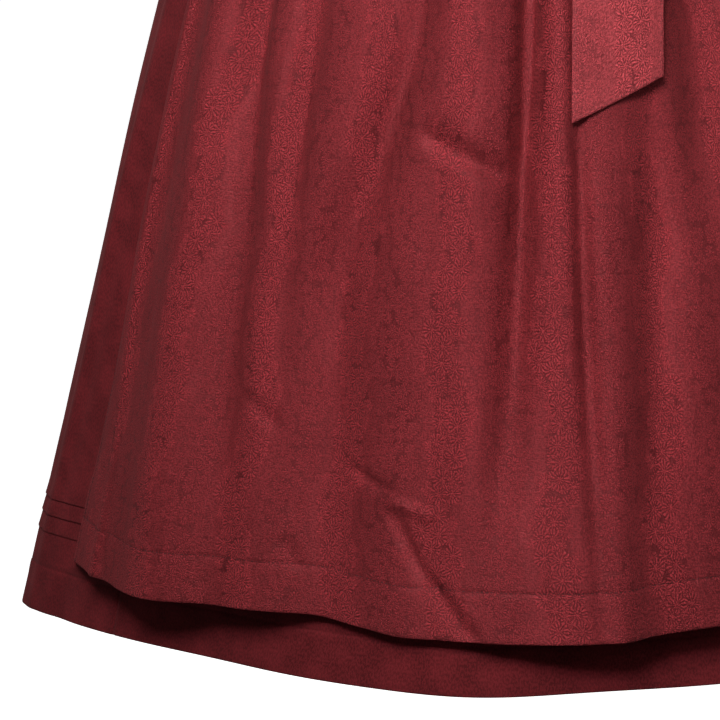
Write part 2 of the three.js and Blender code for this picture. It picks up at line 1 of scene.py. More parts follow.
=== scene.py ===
# %% [markdown]
# # A dirndl with a tied apron, cut and sewn in code
# A dirndl is a close bodice with shoulder straps, a wide skirt gathered into its waist, and an apron
# that is tied over the skirt. Here every panel is a thin shell of cloth. Its points are worked out
# from level rings round the body, and the folds are soft ridges and troughs laid over those rings.

import math

import bpy
import numpy as np
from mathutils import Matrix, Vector


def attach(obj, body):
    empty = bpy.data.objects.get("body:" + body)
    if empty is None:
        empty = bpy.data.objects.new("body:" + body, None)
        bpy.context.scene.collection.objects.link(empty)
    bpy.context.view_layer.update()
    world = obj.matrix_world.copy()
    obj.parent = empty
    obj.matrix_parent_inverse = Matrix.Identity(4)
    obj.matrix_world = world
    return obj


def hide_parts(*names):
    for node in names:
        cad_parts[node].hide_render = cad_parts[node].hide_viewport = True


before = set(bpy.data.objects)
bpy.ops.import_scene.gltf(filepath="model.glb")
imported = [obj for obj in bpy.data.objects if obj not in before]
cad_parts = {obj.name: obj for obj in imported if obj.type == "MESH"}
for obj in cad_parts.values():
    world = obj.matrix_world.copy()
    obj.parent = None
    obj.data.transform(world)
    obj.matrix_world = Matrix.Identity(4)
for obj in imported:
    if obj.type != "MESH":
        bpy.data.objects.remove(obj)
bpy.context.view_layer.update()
print("the frame has", len(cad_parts), "nodes")

# %% [markdown]
# ## Curves and tables
# A pattern cutter writes down a few sizes and draws smooth lines between them. A table here holds such
# sizes, and along() reads any place between two rows without ever swinging past them.
# All lengths in the tables are millimetres, and MM turns them into metres when a mesh is made.

# %% Curve helpers
MM = 0.001


def lerp(a, b, t):
    return a + (b - a) * t


def smoothstep(value, low, high):
    t = np.clip((value - low) / (high - low), 0, 1)
    return t * t * (3 - 2 * t)


def table(columns, *rows):
    """A table of sizes as named columns."""
    return dict(zip(columns.split(), np.array(rows, float).T))


def along(rows, key, column, place):
    """One column of a table at any place along it, on a smooth curve."""
    x, y = rows[key], rows[column]
    rate = np.diff(y) / np.diff(x)
    before = np.concatenate([rate[:1], rate])
    after = np.concatenate([rate, rate[-1:]])
    same_way = before * after > 0
    total = np.where(same_way, before + after, 1)
    slope = np.where(same_way, 2 * before * after / total, 0)
    at = np.clip(place, x[0], x[-1])
    i = np.clip(np.searchsorted(x, at, "right") - 1, 0, len(x) - 2)
    span = x[i + 1] - x[i]
    t = (at - x[i]) / span
    bend = t * t * (3 - 2 * t)
    lead = t * (1 - t) ** 2 * span * slope[i]
    trail = t * t * (1 - t) * span * slope[i + 1]
    return lerp(y[i], y[i + 1], bend) + lead - trail


def short_way(angle):
    return (angle + 180) % 360 - 180


def ripple(a, b, seed):
    """A soft uneven waviness from -1 to 1, the same each time for the same seed."""
    r = np.random.default_rng(seed)
    total = 0
    for _ in range(6):
        turn, phase = r.uniform(0, 2 * math.pi, 2)
        rate = r.uniform(0.6, 1.8)
        total = total + np.sin(rate * (a * math.cos(turn) + b * math.sin(turn)) * 2 * math.pi + phase)
    return total / 3.2


# %% [markdown]
# ## The body's rings
# A skirt on a body isn't a cone. It is oval at the waist and widens quickly over the hips, and lower
# down its front and back are flatter than an oval. Each ring has a half width, a depth to the front
# and to the back, and a pinch that does the flattening.

# %% Rings of the skirt and the bodice
SKIRT_RINGS = table(
    "drop half front back front_pinch back_pinch",
    (0, 135, 97, 97, 0, 0),
    (16, 141, 103, 104, 0.01, 0.01),
    (45, 158, 121, 124, 0.04, 0.03),
    (90, 180, 144, 148, 0.07, 0.05),
    (150, 203, 167, 172, 0.12, 0.08),
    (220, 225, 187, 193, 0.18, 0.12),
    (301, 246, 207, 213, 0.235, 0.16),
    (383, 266, 222, 229, 0.3, 0.2),
    (547, 303, 250, 259, 0.425, 0.28),
    (713, 342, 287, 294, 0.55, 0.35),
)
BODICE_RINGS = table(
    "rise half front back front_pinch back_pinch",
    (0, 135, 97, 97, 0, 0),
    (40, 138, 101, 99, 0, 0),
    (90, 145, 112, 102, 0, 0),
    (130, 151, 126, 106, 0, 0),
    (165, 156, 137, 110, 0, 0),
    (200, 157, 134, 112, 0, 0),
    (240, 157, 121, 112, 0, 0),
    (290, 158, 104, 108, 0, 0),
)


# %% [markdown]
# A point on a ring is found by its angle. 0 is the middle of the front, and angles grow towards the
# wearer's left. out moves the point away from the body, square to the ring.

# %% Points on the rings
def ring_point(rings, key, place, angle, out, z):
    """A point at an angle round a level ring, moved out square to the ring."""
    half, front, back, front_pinch, back_pinch = (
        along(rings, key, column, place) for column in ("half", "front", "back", "front_pinch", "back_pinch")
    )
    turn = np.radians(angle)
    sine, cosine = np.sin(turn), np.cos(turn)
    depth = np.where(cosine > 0, front, back)
    pinch = np.where(cosine > 0, front_pinch, back_pinch)
    x = half * sine
    y = -depth * cosine * (1 - pinch * sine**2)
    along_x = half * cosine
    along_y = depth * sine * (1 - pinch * sine**2 + 2 * pinch * cosine**2)
    length = np.hypot(along_x, along_y)
    return np.stack(
        np.broadcast_arrays(x + out * along_y / length, y - out * along_x / length, z), axis=-1
    )


def skirt_point(angle, drop, out):
    return ring_point(SKIRT_RINGS, "drop", drop, angle, out, -drop)


def bodice_point(angle, rise, out):
    return ring_point(BODICE_RINGS, "rise", rise, angle, out, rise)


def waist_point(angle, z, out):
    below = skirt_point(angle, np.maximum(-z, 0), out)
    above = bodice_point(angle, np.maximum(z, 0), out)
    return np.where(np.asarray(z)[..., None] < 0, below, above)


def per_degree(point, angle, place):
    """How many millimetres one degree is at a place."""
    return np.linalg.norm(point(angle + 1, place, 0) - point(angle, place, 0), axis=-1)


# %% [markdown]
# ## From points to cloth
# Each piece is a grid with an outer and an inner face, joined round its edges, so it has the thickness
# of real cloth and its cut edge can be seen. The grid also carries a map called cloth, in metres along
# and across the threads, because a weave follows its own threads and not the room.

# %% Shell builder
CLOTH_MAP = "cloth"
made_pieces = {}
grids = {}


def lengths_along(points, axis):
    """Distances from the first point of each line, along one direction of a grid."""
    step = np.linalg.norm(np.diff(points, axis=axis), axis=-1)
    zero = np.zeros_like(np.take(step, [0], axis=axis))
    return np.concatenate([zero, np.cumsum(step, axis=axis)], axis=axis)


def thread_map(outer, widest_row=-1, start=(0, 0)):
    """Metres across and along the threads: columns keep the width they have in their widest row."""
    across = lengths_along(outer, 1)[widest_row]
    down = lengths_along(outer, 0).mean(axis=1)
    u, v = np.meshgrid(across + start[0], down + start[1])
    return np.stack([u, v], axis=-1) * MM


def mesh_from(name, points, faces, material, uv=None):
    mesh = bpy.data.meshes.new(name)
    mesh.from_pydata((np.asarray(points) * MM).tolist(), [], faces)
    mesh.polygons.foreach_set("use_smooth", np.ones(len(mesh.polygons), bool))
    if uv is not None:
        layer = mesh.uv_layers.new(name=CLOTH_MAP)
        corner = np.zeros(len(mesh.loops), np.int32)
        mesh.loops.foreach_get("vertex_index", corner)
        layer.uv.foreach_set("vector", np.asarray(uv, np.float32)[corner].ravel())
    mesh.update()
    mesh.materials.append(material)
    made = bpy.data.objects.new(name, mesh)
    bpy.context.scene.collection.objects.link(made)
    made_pieces[name] = made


def grid_quads(rows, columns, first, flip):
    j, i = np.meshgrid(np.arange(rows - 1), np.arange(columns - 1), indexing="ij")
    a = first + j * columns + i
    quad = np.stack([a, a + 1, a + columns + 1, a + columns], axis=-1).reshape(-1, 4)
    return quad[:, ::-1] if flip else quad


def shell(name, outer, inner, threads, material):
    """A thin closed shell from two grids of points. Rows run down and columns to the wearer's left."""
    grids[name] = outer
    rows, columns = outer.shape[:2]
    size = rows * columns
    front = grid_quads(rows, columns, 0, True)
    back = grid_quads(rows, columns, size, False)
    top = np.arange(columns)
    left = np.arange(rows) * columns
    rim = []
    bottom, right = top + (rows - 1) * columns, left + columns - 1
    for line, flip in ((top, True), (bottom, False), (left, False), (right, True)):
        quad = np.stack([line[:-1], line[1:], line[1:] + size, line[:-1] + size], axis=-1)
        rim.append(quad[:, ::-1] if flip else quad)
    points = np.concatenate([outer.reshape(-1, 3), inner.reshape(-1, 3)])
    uv = np.concatenate([threads.reshape(-1, 2)] * 2)
    faces = np.concatenate([front, back, *rim]).tolist()
    mesh_from(name, points, faces, material, uv)


# %% [markdown]
# A cutter needs to know the flat size of each piece. It is read from the finished grid, over all of its
# folds.

# %% Flat sizes
def flat_size(outer):
    """Greatest width and usual length of the cut in metres, read from the finished grid."""
    width = float(lengths_along(outer, 1)[:, -1].max()) * MM
    length = float(lengths_along(outer, 0)[-1].mean()) * MM
    return width, length


# %% [markdown]
# ## Thread
# A machine stitch is a short length of thread that dives into the cloth at both ends. Each one is a
# small lozenge lying along the line of sewing, and a row of them is laid along any line of points.

# %% Stitch builder
LOZENGE = ((0, 1, 2), (0, 2, 3), (2, 1, 4), (2, 4, 5), (3, 2, 5), (3, 5, 6), (5, 4, 7), (6, 5, 7))


def stitches(name, lines, thread, pitch=3.0, length=2.2, width=0.42, proud=0.28):
    """lines holds (points, outward directions) for each row of sewing."""
    corners, faces = [], []
    for points, outward in lines:
        distance = lengths_along(points[None], 1)[0]
        count = int(distance[-1] // pitch)
        if count < 1:
            continue
        middle = (np.arange(count) + 0.5) * distance[-1] / count

        def read(values, at):
            return np.stack([np.interp(at, distance, values[:, k]) for k in range(3)], axis=-1)

        centre = read(points, middle)
        ahead = read(points, middle + length / 2) - read(points, middle - length / 2)
        normal = read(outward, middle)
        normal /= np.linalg.norm(normal, axis=-1, keepdims=True)
        side = np.cross(ahead, normal)
        side *= width / 2 / np.linalg.norm(side, axis=-1, keepdims=True)
        lift = normal * proud
        shape = (
            centre - ahead / 2 - lift,
            centre - ahead / 4 + side,
            centre - ahead / 4 + lift,
            centre - ahead / 4 - side,
            centre + ahead / 4 + side,
            centre + ahead / 4 + lift,
            centre + ahead / 4 - side,
            centre + ahead / 2 - lift,
        )
        first = sum(len(c) for c in corners)
        corners.append(np.stack(shape, axis=1).reshape(-1, 3))
        base = first + np.arange(count)[:, None] * 8
        for face in LOZENGE:
            faces.extend((base + np.array(face)).tolist())
    mesh_from(name, np.concatenate(corners), faces, thread)


def line_on(surface, a, b, step=0.05):
    """Points and outward directions along a line of a surface(a, b)."""
    points = surface(a, b)
    step_a = surface(a + step, b) - surface(a - step, b)
    step_b = surface(a, b + step) - surface(a, b - step)
    outward = np.cross(step_b, step_a)
    return points, outward / np.linalg.norm(outward, axis=-1, keepdims=True)


# %% [markdown]
# ## The light, the floor and the camera
# Cloth is photographed in a big soft light so that its folds show and nothing glares. One large lamp
# hangs high and a little to the left of the camera. A weak one fills from the right, a third stands
# behind the dress so that its back isn't lost, and the pale room does the rest.

# %% Camera
def aimed(name, data, place, aim_at):
    """A camera or a lamp that stands at a place and looks at another."""
    made = bpy.data.objects.new(name, data)
    made.location = place
    made.rotation_euler = (Vector(aim_at) - Vector(place)).to_track_quat("-Z", "Y").to_euler()
    bpy.context.scene.collection.objects.link(made)
    return made


camera_data = bpy.data.cameras.new("camera")
camera_data.sensor_width = 36
camera_data.lens = 230.86
camera_data.clip_end = 60
camera = aimed("camera", camera_data, (0, -3.1, -0.06), (-0.109, 0, -0.546))
bpy.context.scene.camera = camera

# %% [markdown]
# The floor is a plain pale sheet far below the hem. The room looks white to the camera, and is much
# dimmer where it lights the cloth, a little brighter from above.

# %% Floor and pale room
def settle(node, **values):
    """Sets a shader node's own values, with _ for each space in their names."""
    for name, value in values.items():
        node.inputs[name.replace("_", " ")].default_value = value


FLOOR_Z = -1.25
FLOOR_HALF = 30
floor_corners = [(x * FLOOR_HALF, y * FLOOR_HALF, FLOOR_Z) for x, y in ((-1, -1), (1, -1), (1, 1), (-1, 1))]
floor_mesh = bpy.data.meshes.new("floor")
floor_mesh.from_pydata(floor_corners, [], [(0, 1, 2, 3)])
floor = bpy.data.objects.new("floor", floor_mesh)
bpy.context.scene.collection.objects.link(floor)
floor_paint = bpy.data.materials.new("floor_paint")
floor_paint.use_nodes = True
floor_look = floor_paint.node_tree.nodes["Principled BSDF"]
WHITE = (1, 1, 1, 1)
settle(floor_look, Base_Color=(0.93, 0.93, 0.93, 1), Roughness=1, Emission_Color=WHITE, Emission_Strength=0.9)
floor_mesh.materials.append(floor_paint)
floor.visible_diffuse = False
floor.visible_glossy = False

world = bpy.data.worlds.new("pale_room")
bpy.context.scene.world = world
world.use_nodes = True
room = world.node_tree
room.nodes.clear()
seen = room.nodes.new("ShaderNodeBackground")
settle(seen, Color=WHITE, Strength=1.0)
felt = room.nodes.new("ShaderNodeBackground")
settle(felt, Color=(1, 0.99, 0.98, 1))
direction = room.nodes.new("ShaderNodeTexCoord")
height = room.nodes.new("ShaderNodeSeparateXYZ")
room.links.new(direction.outputs["Generated"], height.inputs[0])
strength = room.nodes.new("ShaderNodeMapRange")
settle(strength, From_Min=-0.5, From_Max=0.7, To_Min=0.1, To_Max=0.15)
room.links.new(height.outputs["Z"], strength.inputs["Value"])
room.links.new(strength.outputs["Result"], felt.inputs["Strength"])
ray = room.nodes.new("ShaderNodeLightPath")
either = room.nodes.new("ShaderNodeMixShader")
room.links.new(ray.outputs["Is Camera Ray"], either.inputs[0])
room.links.new(felt.outputs[0], either.inputs[1])
room.links.new(seen.outputs[0], either.inputs[2])
out = room.nodes.new("ShaderNodeOutputWorld")
room.links.new(either.outputs[0], out.inputs["Surface"])


# %% [markdown]
# The lamps themselves are hidden from the camera, so only their light is seen.

# %% Lamps
def lamp(name, place, aim_at, size, power, spread):
    data = bpy.data.lights.new(name, "AREA")
    data.shape = "DISK"
    data.size = size
    data.energy = power
    data.spread = math.radians(spread)
    aimed(name, data, place, aim_at).visible_camera = False


lamp("key_lamp", (-0.35, -1.9, 1.15), (0.06, -0.25, 0.0), 1.3, 10.8, 52)
lamp("fill_lamp", (1.7, -1.9, 0.8), (0, -0.2, -0.3), 0.9, 2.6, 130)
lamp("back_lamp", (1.1, 2.5, 1.3), (0.0, 0.25, -0.2), 1.4, 11, 90)
view = bpy.context.scene.view_settings
view.view_transform = "Standard"
view.look = "None"

# %% [markdown]
# ## Cloth finishes
# Two cloths make this dress. The skirt and the bodice are a plain matt cotton. The apron and its
# ribbon are a jacquard, one colour woven in two ways: the ground is smooth satin that shines, and
# the flowers are the other side of the same weave, so they are matt. The shaders build this from the
# thread map, with no pictures.

# %% Node helpers
class Look:
    """A material and short ways to add nodes to it."""

    def __init__(self, name):
        self.material = bpy.data.materials.new(name)
        self.material.use_nodes = True
        self.tree = self.material.node_tree
        self.shader = self.tree.nodes["Principled BSDF"]

    def put(self, value, socket):
        if isinstance(value, bpy.types.NodeSocket):
            self.tree.links.new(value, socket)
        else:
            socket.default_value = value

    def node(self, kind, settings=None, **inputs):
        made = self.tree.nodes.new(kind)
        for name, value in (settings or {}).items():
            setattr(made, name, value)
        for name, value in inputs.items():
            self.put(value, made.inputs[name.replace("_", " ")])
        return made

    def sum_node(self, kind, operation, values):
        made = self.node(kind, {"operation": operation})
        for value, socket in zip(values, made.inputs):
            self.put(value, socket)
        return made.outputs

    def calc(self, operation, *values):
        return self.sum_node("ShaderNodeMath", operation, values)[0]

    def times(self, *values):
        return self.calc("MULTIPLY", *values)

    def plus(self, *values):
        return self.calc("ADD", *values)

    def minus(self, *values):
        return self.calc("SUBTRACT", *values)

    def vector(self, operation, *values, output=0):
        return self.sum_node("ShaderNodeVectorMath", operation, values)[output]

    def parts(self, vector):
        """The first two numbers of a vector, each on its own."""
        return self.node("ShaderNodeSeparateXYZ", Vector=vector).outputs[0:2]

    def ramp(self, value, low, high, start=0.0, end=1.0):
        made = self.tree.nodes.new("ShaderNodeMapRange")
        made.interpolation_type = "SMOOTHSTEP"
        for number, socket in zip((value, low, high, start, end), made.inputs):
            self.put(number, socket)
        return made.outputs["Result"]

    def mix(self, factor, a, b):
        made = self.tree.nodes.new("ShaderNodeMix")
        made.data_type = "RGBA"
        self.put(factor, made.inputs[0])
        self.put(a, made.inputs[6])
        self.put(b, made.inputs[7])
        return made.outputs[2]

    def noise(self, vector, scale, detail, output=0):
        made = self.node("ShaderNodeTexNoise", Vector=vector, Scale=scale, Detail=detail)
        return made.outputs[output]

    def threads(self):
        """The cloth's own thread map, in millimetres."""
        made = self.tree.nodes.new("ShaderNodeUVMap")
        made.uv_map = CLOTH_MAP
        return self.scaled(made.outputs[0], 1000, 1000)

    def scaled(self, vector, x, y):
        return self.vector("MULTIPLY", vector, (x, y, 1))

    def place(self):
        return self.tree.nodes.new("ShaderNodeTexCoord").outputs["Object"]

    def bump(self, heights, distance, strength=1.0):
        made = self.node("ShaderNodeBump", Strength=strength, Distance=distance, Height=heights)
        self.put(made.outputs[0], self.shader.inputs["Normal"])

    def finish(self, colour, roughness=None, **values):
        """Connects the colour and the roughness, and sets the shader's other values."""
        self.put(colour, self.shader.inputs["Base Color"])
        if roughness is not None:
            self.put(roughness, self.shader.inputs["Roughness"])
        settle(self.shader, **values)
        return self.material


def tint(colour, factor):
    return (*(part * factor for part in colour), 1)


# %% [markdown]
# ### The plain cotton
# Plain cotton has fine slanting ribs, slight cloudiness from the dye and a dusty bloom at its edges.

# %% Plain cotton
def cotton(name, colour):
    look = Look(name)
    threads = look.threads()
    x, y = look.parts(threads)
    slant = look.plus(x, y)
    rib = look.calc("SINE", look.times(slant, 2 * math.pi / 1.1))
    cloud = look.noise(look.place(), 55.0, 5.0)
    fleck = look.noise(look.scaled(threads, 0.9, 0.5), 1.0, 3.0)
    tone = look.plus(look.ramp(cloud, 0.34, 0.66, 0.0, 0.38), look.ramp(fleck, 0.4, 0.6, 0.0, 0.62))
    relief = look.plus(look.times(rib, 0.4), look.times(fleck, 1.6))
    look.bump(relief, 0.00012, 0.7)
    return look.finish(
        look.mix(tone, tint(colour, 0.6), tint(colour, 1.42)),
        look.ramp(fleck, 0.3, 0.7, 0.78, 0.9),
        Sheen_Weight=0.06,
        Sheen_Roughness=0.5,
        Sheen_Tint=(0.9, 0.35, 0.35, 1),
        Specular_IOR_Level=0.2,
        Specular_Tint=(1.0, 0.4, 0.4, 1),
    )


# %% [markdown]
# ### The flowered jacquard
# The pattern is an ordinary scattered flower. Large daisies with two rings of petals crowd into bands
# that wander down the cloth. A narrow strip of plain satin parts each band from a field of smaller
# daisies, which grow bolder in a second band half way between.
# Scattered cells give each flower its middle. A flower belongs to a band when its middle does, so no
# flower is cut in half at a band's edge.

# %% Daisies
REPEAT = 78.0
BAND_HALF = 10.5
FILLER_HALF = 13.5
SMALL_FROM = 21.0
SECOND_FROM = 31.0


def daisies(look, threads, cell, petals, radius, seed, looseness):
    """Returns (petals, whole flower, middle's x, middle's y) for daisies scattered in cells."""
    loose = look.vector("SUBTRACT", look.noise(threads, 0.3, 1.0, "Color"), (0.5, 0.5, 0.5))
    bent = look.vector("ADD", threads, look.vector("MULTIPLY", loose, (1.7, 1.7, 0)))
    first = (seed, seed * 0.37)
    at = look.vector("ADD", look.scaled(bent, 1 / cell, 1 / cell), (*first, 0))
    cells = look.node("ShaderNodeTexVoronoi", {"voronoi_dimensions": "2D"}, Scale=1.0, Randomness=looseness)
    look.put(at, cells.inputs["Vector"])
    middle = cells.outputs["Position"]
    local = look.vector("SUBTRACT", at, middle)
    lx, ly = look.parts(local)
    away = look.vector("LENGTH", look.vector("MULTIPLY", local, (1, 1, 0)), output=1)
    own = look.node("ShaderNodeSeparateColor", Color=cells.outputs["Color"]).outputs[0]
    turn = look.plus(look.calc("ARCTAN2", ly, lx), look.times(own, 6.0))
    wave = look.calc("COSINE", look.times(turn, petals))
    inner_wave = look.calc("COSINE", look.times(turn, petals // 2 + 1))
    size = look.calc("MULTIPLY_ADD", own, 0.09, radius)
    edge = look.calc("MULTIPLY_ADD", wave, 0.04, size)
    whole = look.ramp(look.minus(edge, away), -0.015, 0.02)
    outside = look.ramp(away, radius * 0.5, radius * 0.56)
    outer_ring = look.times(look.ramp(wave, -0.5, 0.25), outside)
    inner_edge = look.calc("MULTIPLY_ADD", inner_wave, 0.03, radius * 0.43)
    inner = look.ramp(look.minus(inner_edge, away), -0.01, 0.02)
    inner_ring = look.times(inner, look.ramp(inner_wave, -0.6, 0.2))
    heart = look.ramp(away, radius * 0.16, radius * 0.12)
    drawn = look.calc("MAXIMUM", look.calc("MAXIMUM", outer_ring, inner_ring), heart)
    mx, my = (look.times(look.minus(value, start), cell) for value, start in zip(look.parts(middle), first))
    return look.times(drawn, whole), whole, mx, my


# %% [markdown]
# A band isn't straight: a slow wave and a quick one push it to and fro on its way down. The cloth is
# one such band after another, REPEAT millimetres apart.

# %% Wandering bands
def band_distance(look, x, y):
    """How far a place is from the middle of its band of large daisies, in millimetres."""
    slow = look.times(look.calc("SINE", look.times(y, 2 * math.pi / 118)), 5.0)
    quick = look.times(look.calc("SINE", look.calc("MULTIPLY_ADD", y, 2 * math.pi / 47, 1.3)), 2.2)
    moved = look.calc("DIVIDE", look.plus(x, look.plus(slow, quick)), REPEAT)
    share = look.calc("ABSOLUTE", look.minus(look.calc("FRACT", moved), 0.5))
    return look.times(share, REPEAT)


# %% [markdown]
# Now the flowers go to their places. The large ones stay in their bands and the small ones in their
# fields. Threads, a slight unevenness of the yarn and the two finishes of the weave come on top.

# %% The whole cloth
def jacquard(name, colour, shine=0.52):
    look = Look(name)
    threads = look.threads()
    big, big_whole, bx, by = daisies(look, threads, 11.5, 15, 0.5, 3.1, 0.6)
    small, small_whole, sx, sy = daisies(look, threads, 7.0, 12, 0.5, 7.7, 0.75)
    big_on = look.ramp(band_distance(look, bx, by), BAND_HALF + 0.2, BAND_HALF - 0.2)
    small_at = band_distance(look, sx, sy)
    small_on = look.ramp(small_at, SMALL_FROM - 0.2, SMALL_FROM + 0.2)
    filler_on = look.ramp(small_at, FILLER_HALF + 0.2, FILLER_HALF - 0.2)
    boldness = look.ramp(small_at, SECOND_FROM - 0.5, SECOND_FROM + 0.5, 0.6, 1.0)
    own_at = band_distance(look, *look.parts(threads))
    in_field = look.ramp(own_at, SMALL_FROM - 1.5, SMALL_FROM + 1.0)
    field = look.calc("MAXIMUM", in_field, look.times(small_whole, small_on))
    big_there = look.times(big_whole, big_on)
    filler = look.times(look.times(small, filler_on), look.minus(1.0, big_there))
    big = look.calc("MAXIMUM", look.times(big, big_on), filler)
    small = look.times(look.times(small, small_on), boldness)
    figure = look.calc("MAXIMUM", big, small)
    pick = look.noise(look.scaled(threads, 1.0, 0.6), 1.0, 3.0)
    weft = look.noise(look.scaled(threads, 0.4, 1.3), 1.0, 3.0)
    cloud = look.noise(look.place(), 30.0, 3.0)
    grain = look.ramp(look.calc("MULTIPLY_ADD", pick, 0.6, look.times(weft, 0.4)), 0.38, 0.62)
    quiet = look.ramp(field, 0.0, 1.0, 0.94, 0.76)
    in_band = look.calc("MAXIMUM", big_there, look.ramp(own_at, FILLER_HALF - 1.0, FILLER_HALF - 3.5))
    quiet = look.minus(quiet, look.times(in_band, 0.38))
    gap = look.ramp(look.times(in_field, boldness), 0.6, 0.9, 0.0, 0.14)
    bold_figure = look.times(figure, look.ramp(in_band, 0.0, 1.0, 0.85, 1.15))
    level = look.plus(look.minus(quiet, gap), bold_figure)
    level = look.times(level, look.ramp(grain, 0.0, 1.0, 0.6, 1.42))
    level = look.times(level, look.ramp(cloud, 0.3, 0.7, 1.07, 0.93))
    tone = look.vector("SCALE", colour)
    look.put(level, tone.node.inputs["Scale"])
    facing = look.node("ShaderNodeLayerWeight", Blend=0.5).outputs["Facing"]
    look.bump(look.plus(figure, look.times(grain, 0.7)), 0.00026, 1.0)
    return look.finish(
        tone,
        look.plus(look.ramp(figure, 0.0, 1.0, shine, 0.66), look.ramp(facing, 0.4, 0.8, 0.0, 0.34)),
        Sheen_Weight=0.03,
        Sheen_Roughness=0.5,
        Sheen_Tint=(1.0, 0.35, 0.35, 1),
        Specular_IOR_Level=0.8,
        Specular_Tint=(1.0, 0.2, 0.22, 1),
    )


# %% [markdown]
# ### Thread and pewter
# Thread goes from dark to light with its twist. The buttons are pewter, a dull grey metal that is
# rubbed smooth in patches.

# %% Thread and pewter
def sewing_thread(name, colour):
    look = Look(name)
    twist = look.noise(look.place(), 900.0, 2.0)
    return look.finish(look.mix(twist, tint(colour, 0.8), tint(colour, 1.2)), 0.75, Sheen_Weight=0.03)


def pewter(name):
    look = Look(name)
    place = look.place()
    wear = look.noise(place, 260.0, 4.0)
    fine = look.noise(place, 1500.0, 2.0)
    body = look.mix(look.ramp(wear, 0.35, 0.65), (0.19, 0.185, 0.18, 1), (0.42, 0.41, 0.4, 1))
    look.bump(fine, 0.00006, 0.6)
    return look.finish(body, look.ramp(wear, 0.3, 0.7, 0.52, 0.34), Metallic=1.0)


# %% [markdown]
# The reds are mixed. The ribbon is the same cloth as the apron, but its red is lighter: painted light,
# standing in for the brighter light on its flat face, which has no folds to shade it.

# %% Colours
SKIRT_RED = (0.100, 0.0100, 0.0125)
APRON_RED = (0.128, 0.0130, 0.0160)
# Painted light: the ribbon's red is the apron's red made lighter, for the light on its flat face.
RIBBON_RED_WITH_PAINTED_LIGHT = (0.205, 0.0270, 0.0315)
skirt_cloth = cotton("skirt_cotton", SKIRT_RED)
apron_cloth = jacquard("apron_jacquard", APRON_RED)
ribbon_cloth = jacquard("ribbon_jacquard", RIBBON_RED_WITH_PAINTED_LIGHT, 0.5)
skirt_thread = sewing_thread("skirt_thread", (0.13, 0.02, 0.024))
# Painted shade: the apron's thread is near black, far darker than the cloth, so its rows of sewing read as
# the shadow in their grooves.
apron_thread_painted_shade = sewing_thread("apron_thread_painted_shade", (0.03, 0.004, 0.005))
bodice_cloth = cotton("bodice_cotton", SKIRT_RED)
ribbon_thread = sewing_thread("ribbon_thread", (0.19, 0.03, 0.034))
pewter_look = pewter("pewter")

# %% [markdown]
# ## The skirt
# The skirt is four widths of cloth sewn side by side and gathered into the waist. Just above the hem
# three tucks are folded down and pressed. They let a growing wearer lengthen the skirt, and they make
# its lower part stand out. The widths are cut to the same rings as the frame, so they fit it exactly.

# %% Folds of the skirt
CLOTH = 1.1
SEAM_GAP = 0.3
SKIRT_LENGTH = 713.0
HEM_DEPTH = 30.0
SEAM_FRONT, SEAM_BACK = 52.0, 128.0

# Each fold: its angle at the waist and at the hem, how far it stands out at the hem, its width in
# degrees, the drop where it begins and the share of it that is left at the hem. A trough has a
# negative stand.
SKIRT_FOLDS = table(
    "waist hem stand width begins kept",
    (-5, -5, 8, 9, 250, 1),
    (9, 9, -8, 11, 250, 1),
    (27, 29, 6, 10, 200, 1),
    (42, 45, -6, 9, 200, 1),
    (58, 61, 6, 8, 60, 1),
    (71, 74, -7, 7, 60, 1),
    (84, 86, 5, 8, 60, 1),
    (98, 100, -8, 7, 60, 1),
    (109, 112, 10, 8, 60, 1),
    (122, 125, -9, 7, 60, 1),
    (134, 137, 9, 8, 60, 1),
    (147, 149, -8, 7, 60, 1),
    (159, 160, 11, 8, 60, 1),
    (172, 173, -8, 7, 60, 1),
    (-175, -175, 11, 7, 60, 1),
    (-162, -164, -9, 8, 60, 1),
    (-150, -152, 9, 7, 60, 1),
    (-138, -141, -8, 7, 60, 1),
    (-127, -130, 10, 8, 60, 1),
    (-115, -117, -8, 7, 60, 1),
    (-102, -104, 8, 7, 60, 1),
    (-86, -92, -5, 5, 60, 0.4),
    (-67.5, -77, 7, 2.6, 60, 0.15),
    (-62, -65, -6, 3.5, 60, 0.3),
    (-36, -36, -5, 10, 250, 1),
)


# %% [markdown]
# A fold is a smooth bump across the cloth. It grows from nothing, where it begins, to its full stand
# at the hem. Gathers are small and even, and die away below the waist.

# %% Folds and gathers at any place
def rows_of(rows):
    """The rows of a table, each as a dictionary."""
    return [dict(zip(rows, values)) for values in zip(*rows.values())]


def bare(angle):
    """1 where the skirt shows and 0 where the apron lies over it."""
    return smoothstep(np.abs(short_way(angle)), 58, 68)


def gathers(angle, drop, seed):
    """The small even pleats that gathering makes under a waistband, dying away downwards."""
    uneven = angle + 0.9 * ripple(angle / 23, drop / 400, seed)
    uneven = uneven + 0.35 * ripple(angle / 9, drop / 260, seed + 1)
    fine = np.cos(np.radians(uneven * 360 / 3.6)) * np.exp(-drop / 60)
    wide = np.cos(np.radians(uneven * 360 / 7.2 + 40)) * np.exp(-(((drop - 110) / 90) ** 2))
    start = smoothstep(drop, 2, 30)
    strength = 0.75 + 0.35 * ripple(angle / 31, drop / 500, seed + 2)
    return start * strength * (1.5 * fine + 1.7 * wide)


def skirt_fold(angle, drop):
    stand = 0
    for fold in rows_of(SKIRT_FOLDS):
        middle = lerp(fold["waist"], fold["hem"], drop / SKIRT_LENGTH)
        growth = smoothstep(drop, fold["begins"], SKIRT_LENGTH) ** 0.7
        growth = growth * lerp(1, fold["kept"], smoothstep(drop, 420, 690))
        away = short_way(angle - middle) / fold["width"]
        stand = stand + fold["stand"] * growth * np.exp(-(away**2))
    return stand


def skirt_detail(angle, drop):
    """Gathers and slight waves that show only where the apron doesn't cover the skirt."""
    waves = 0.5 * ripple(angle / 16, drop / 210, 5) * smoothstep(drop, 120, 260)
    return bare(angle) * (gathers(angle, drop, 11) + waves)


# %% [markdown]
# Each tuck hangs over the next, so its lower edge has a small overhang that keeps a line of shadow.
# The path below is the outline of the cloth from the waist down: how far down, and how far out.

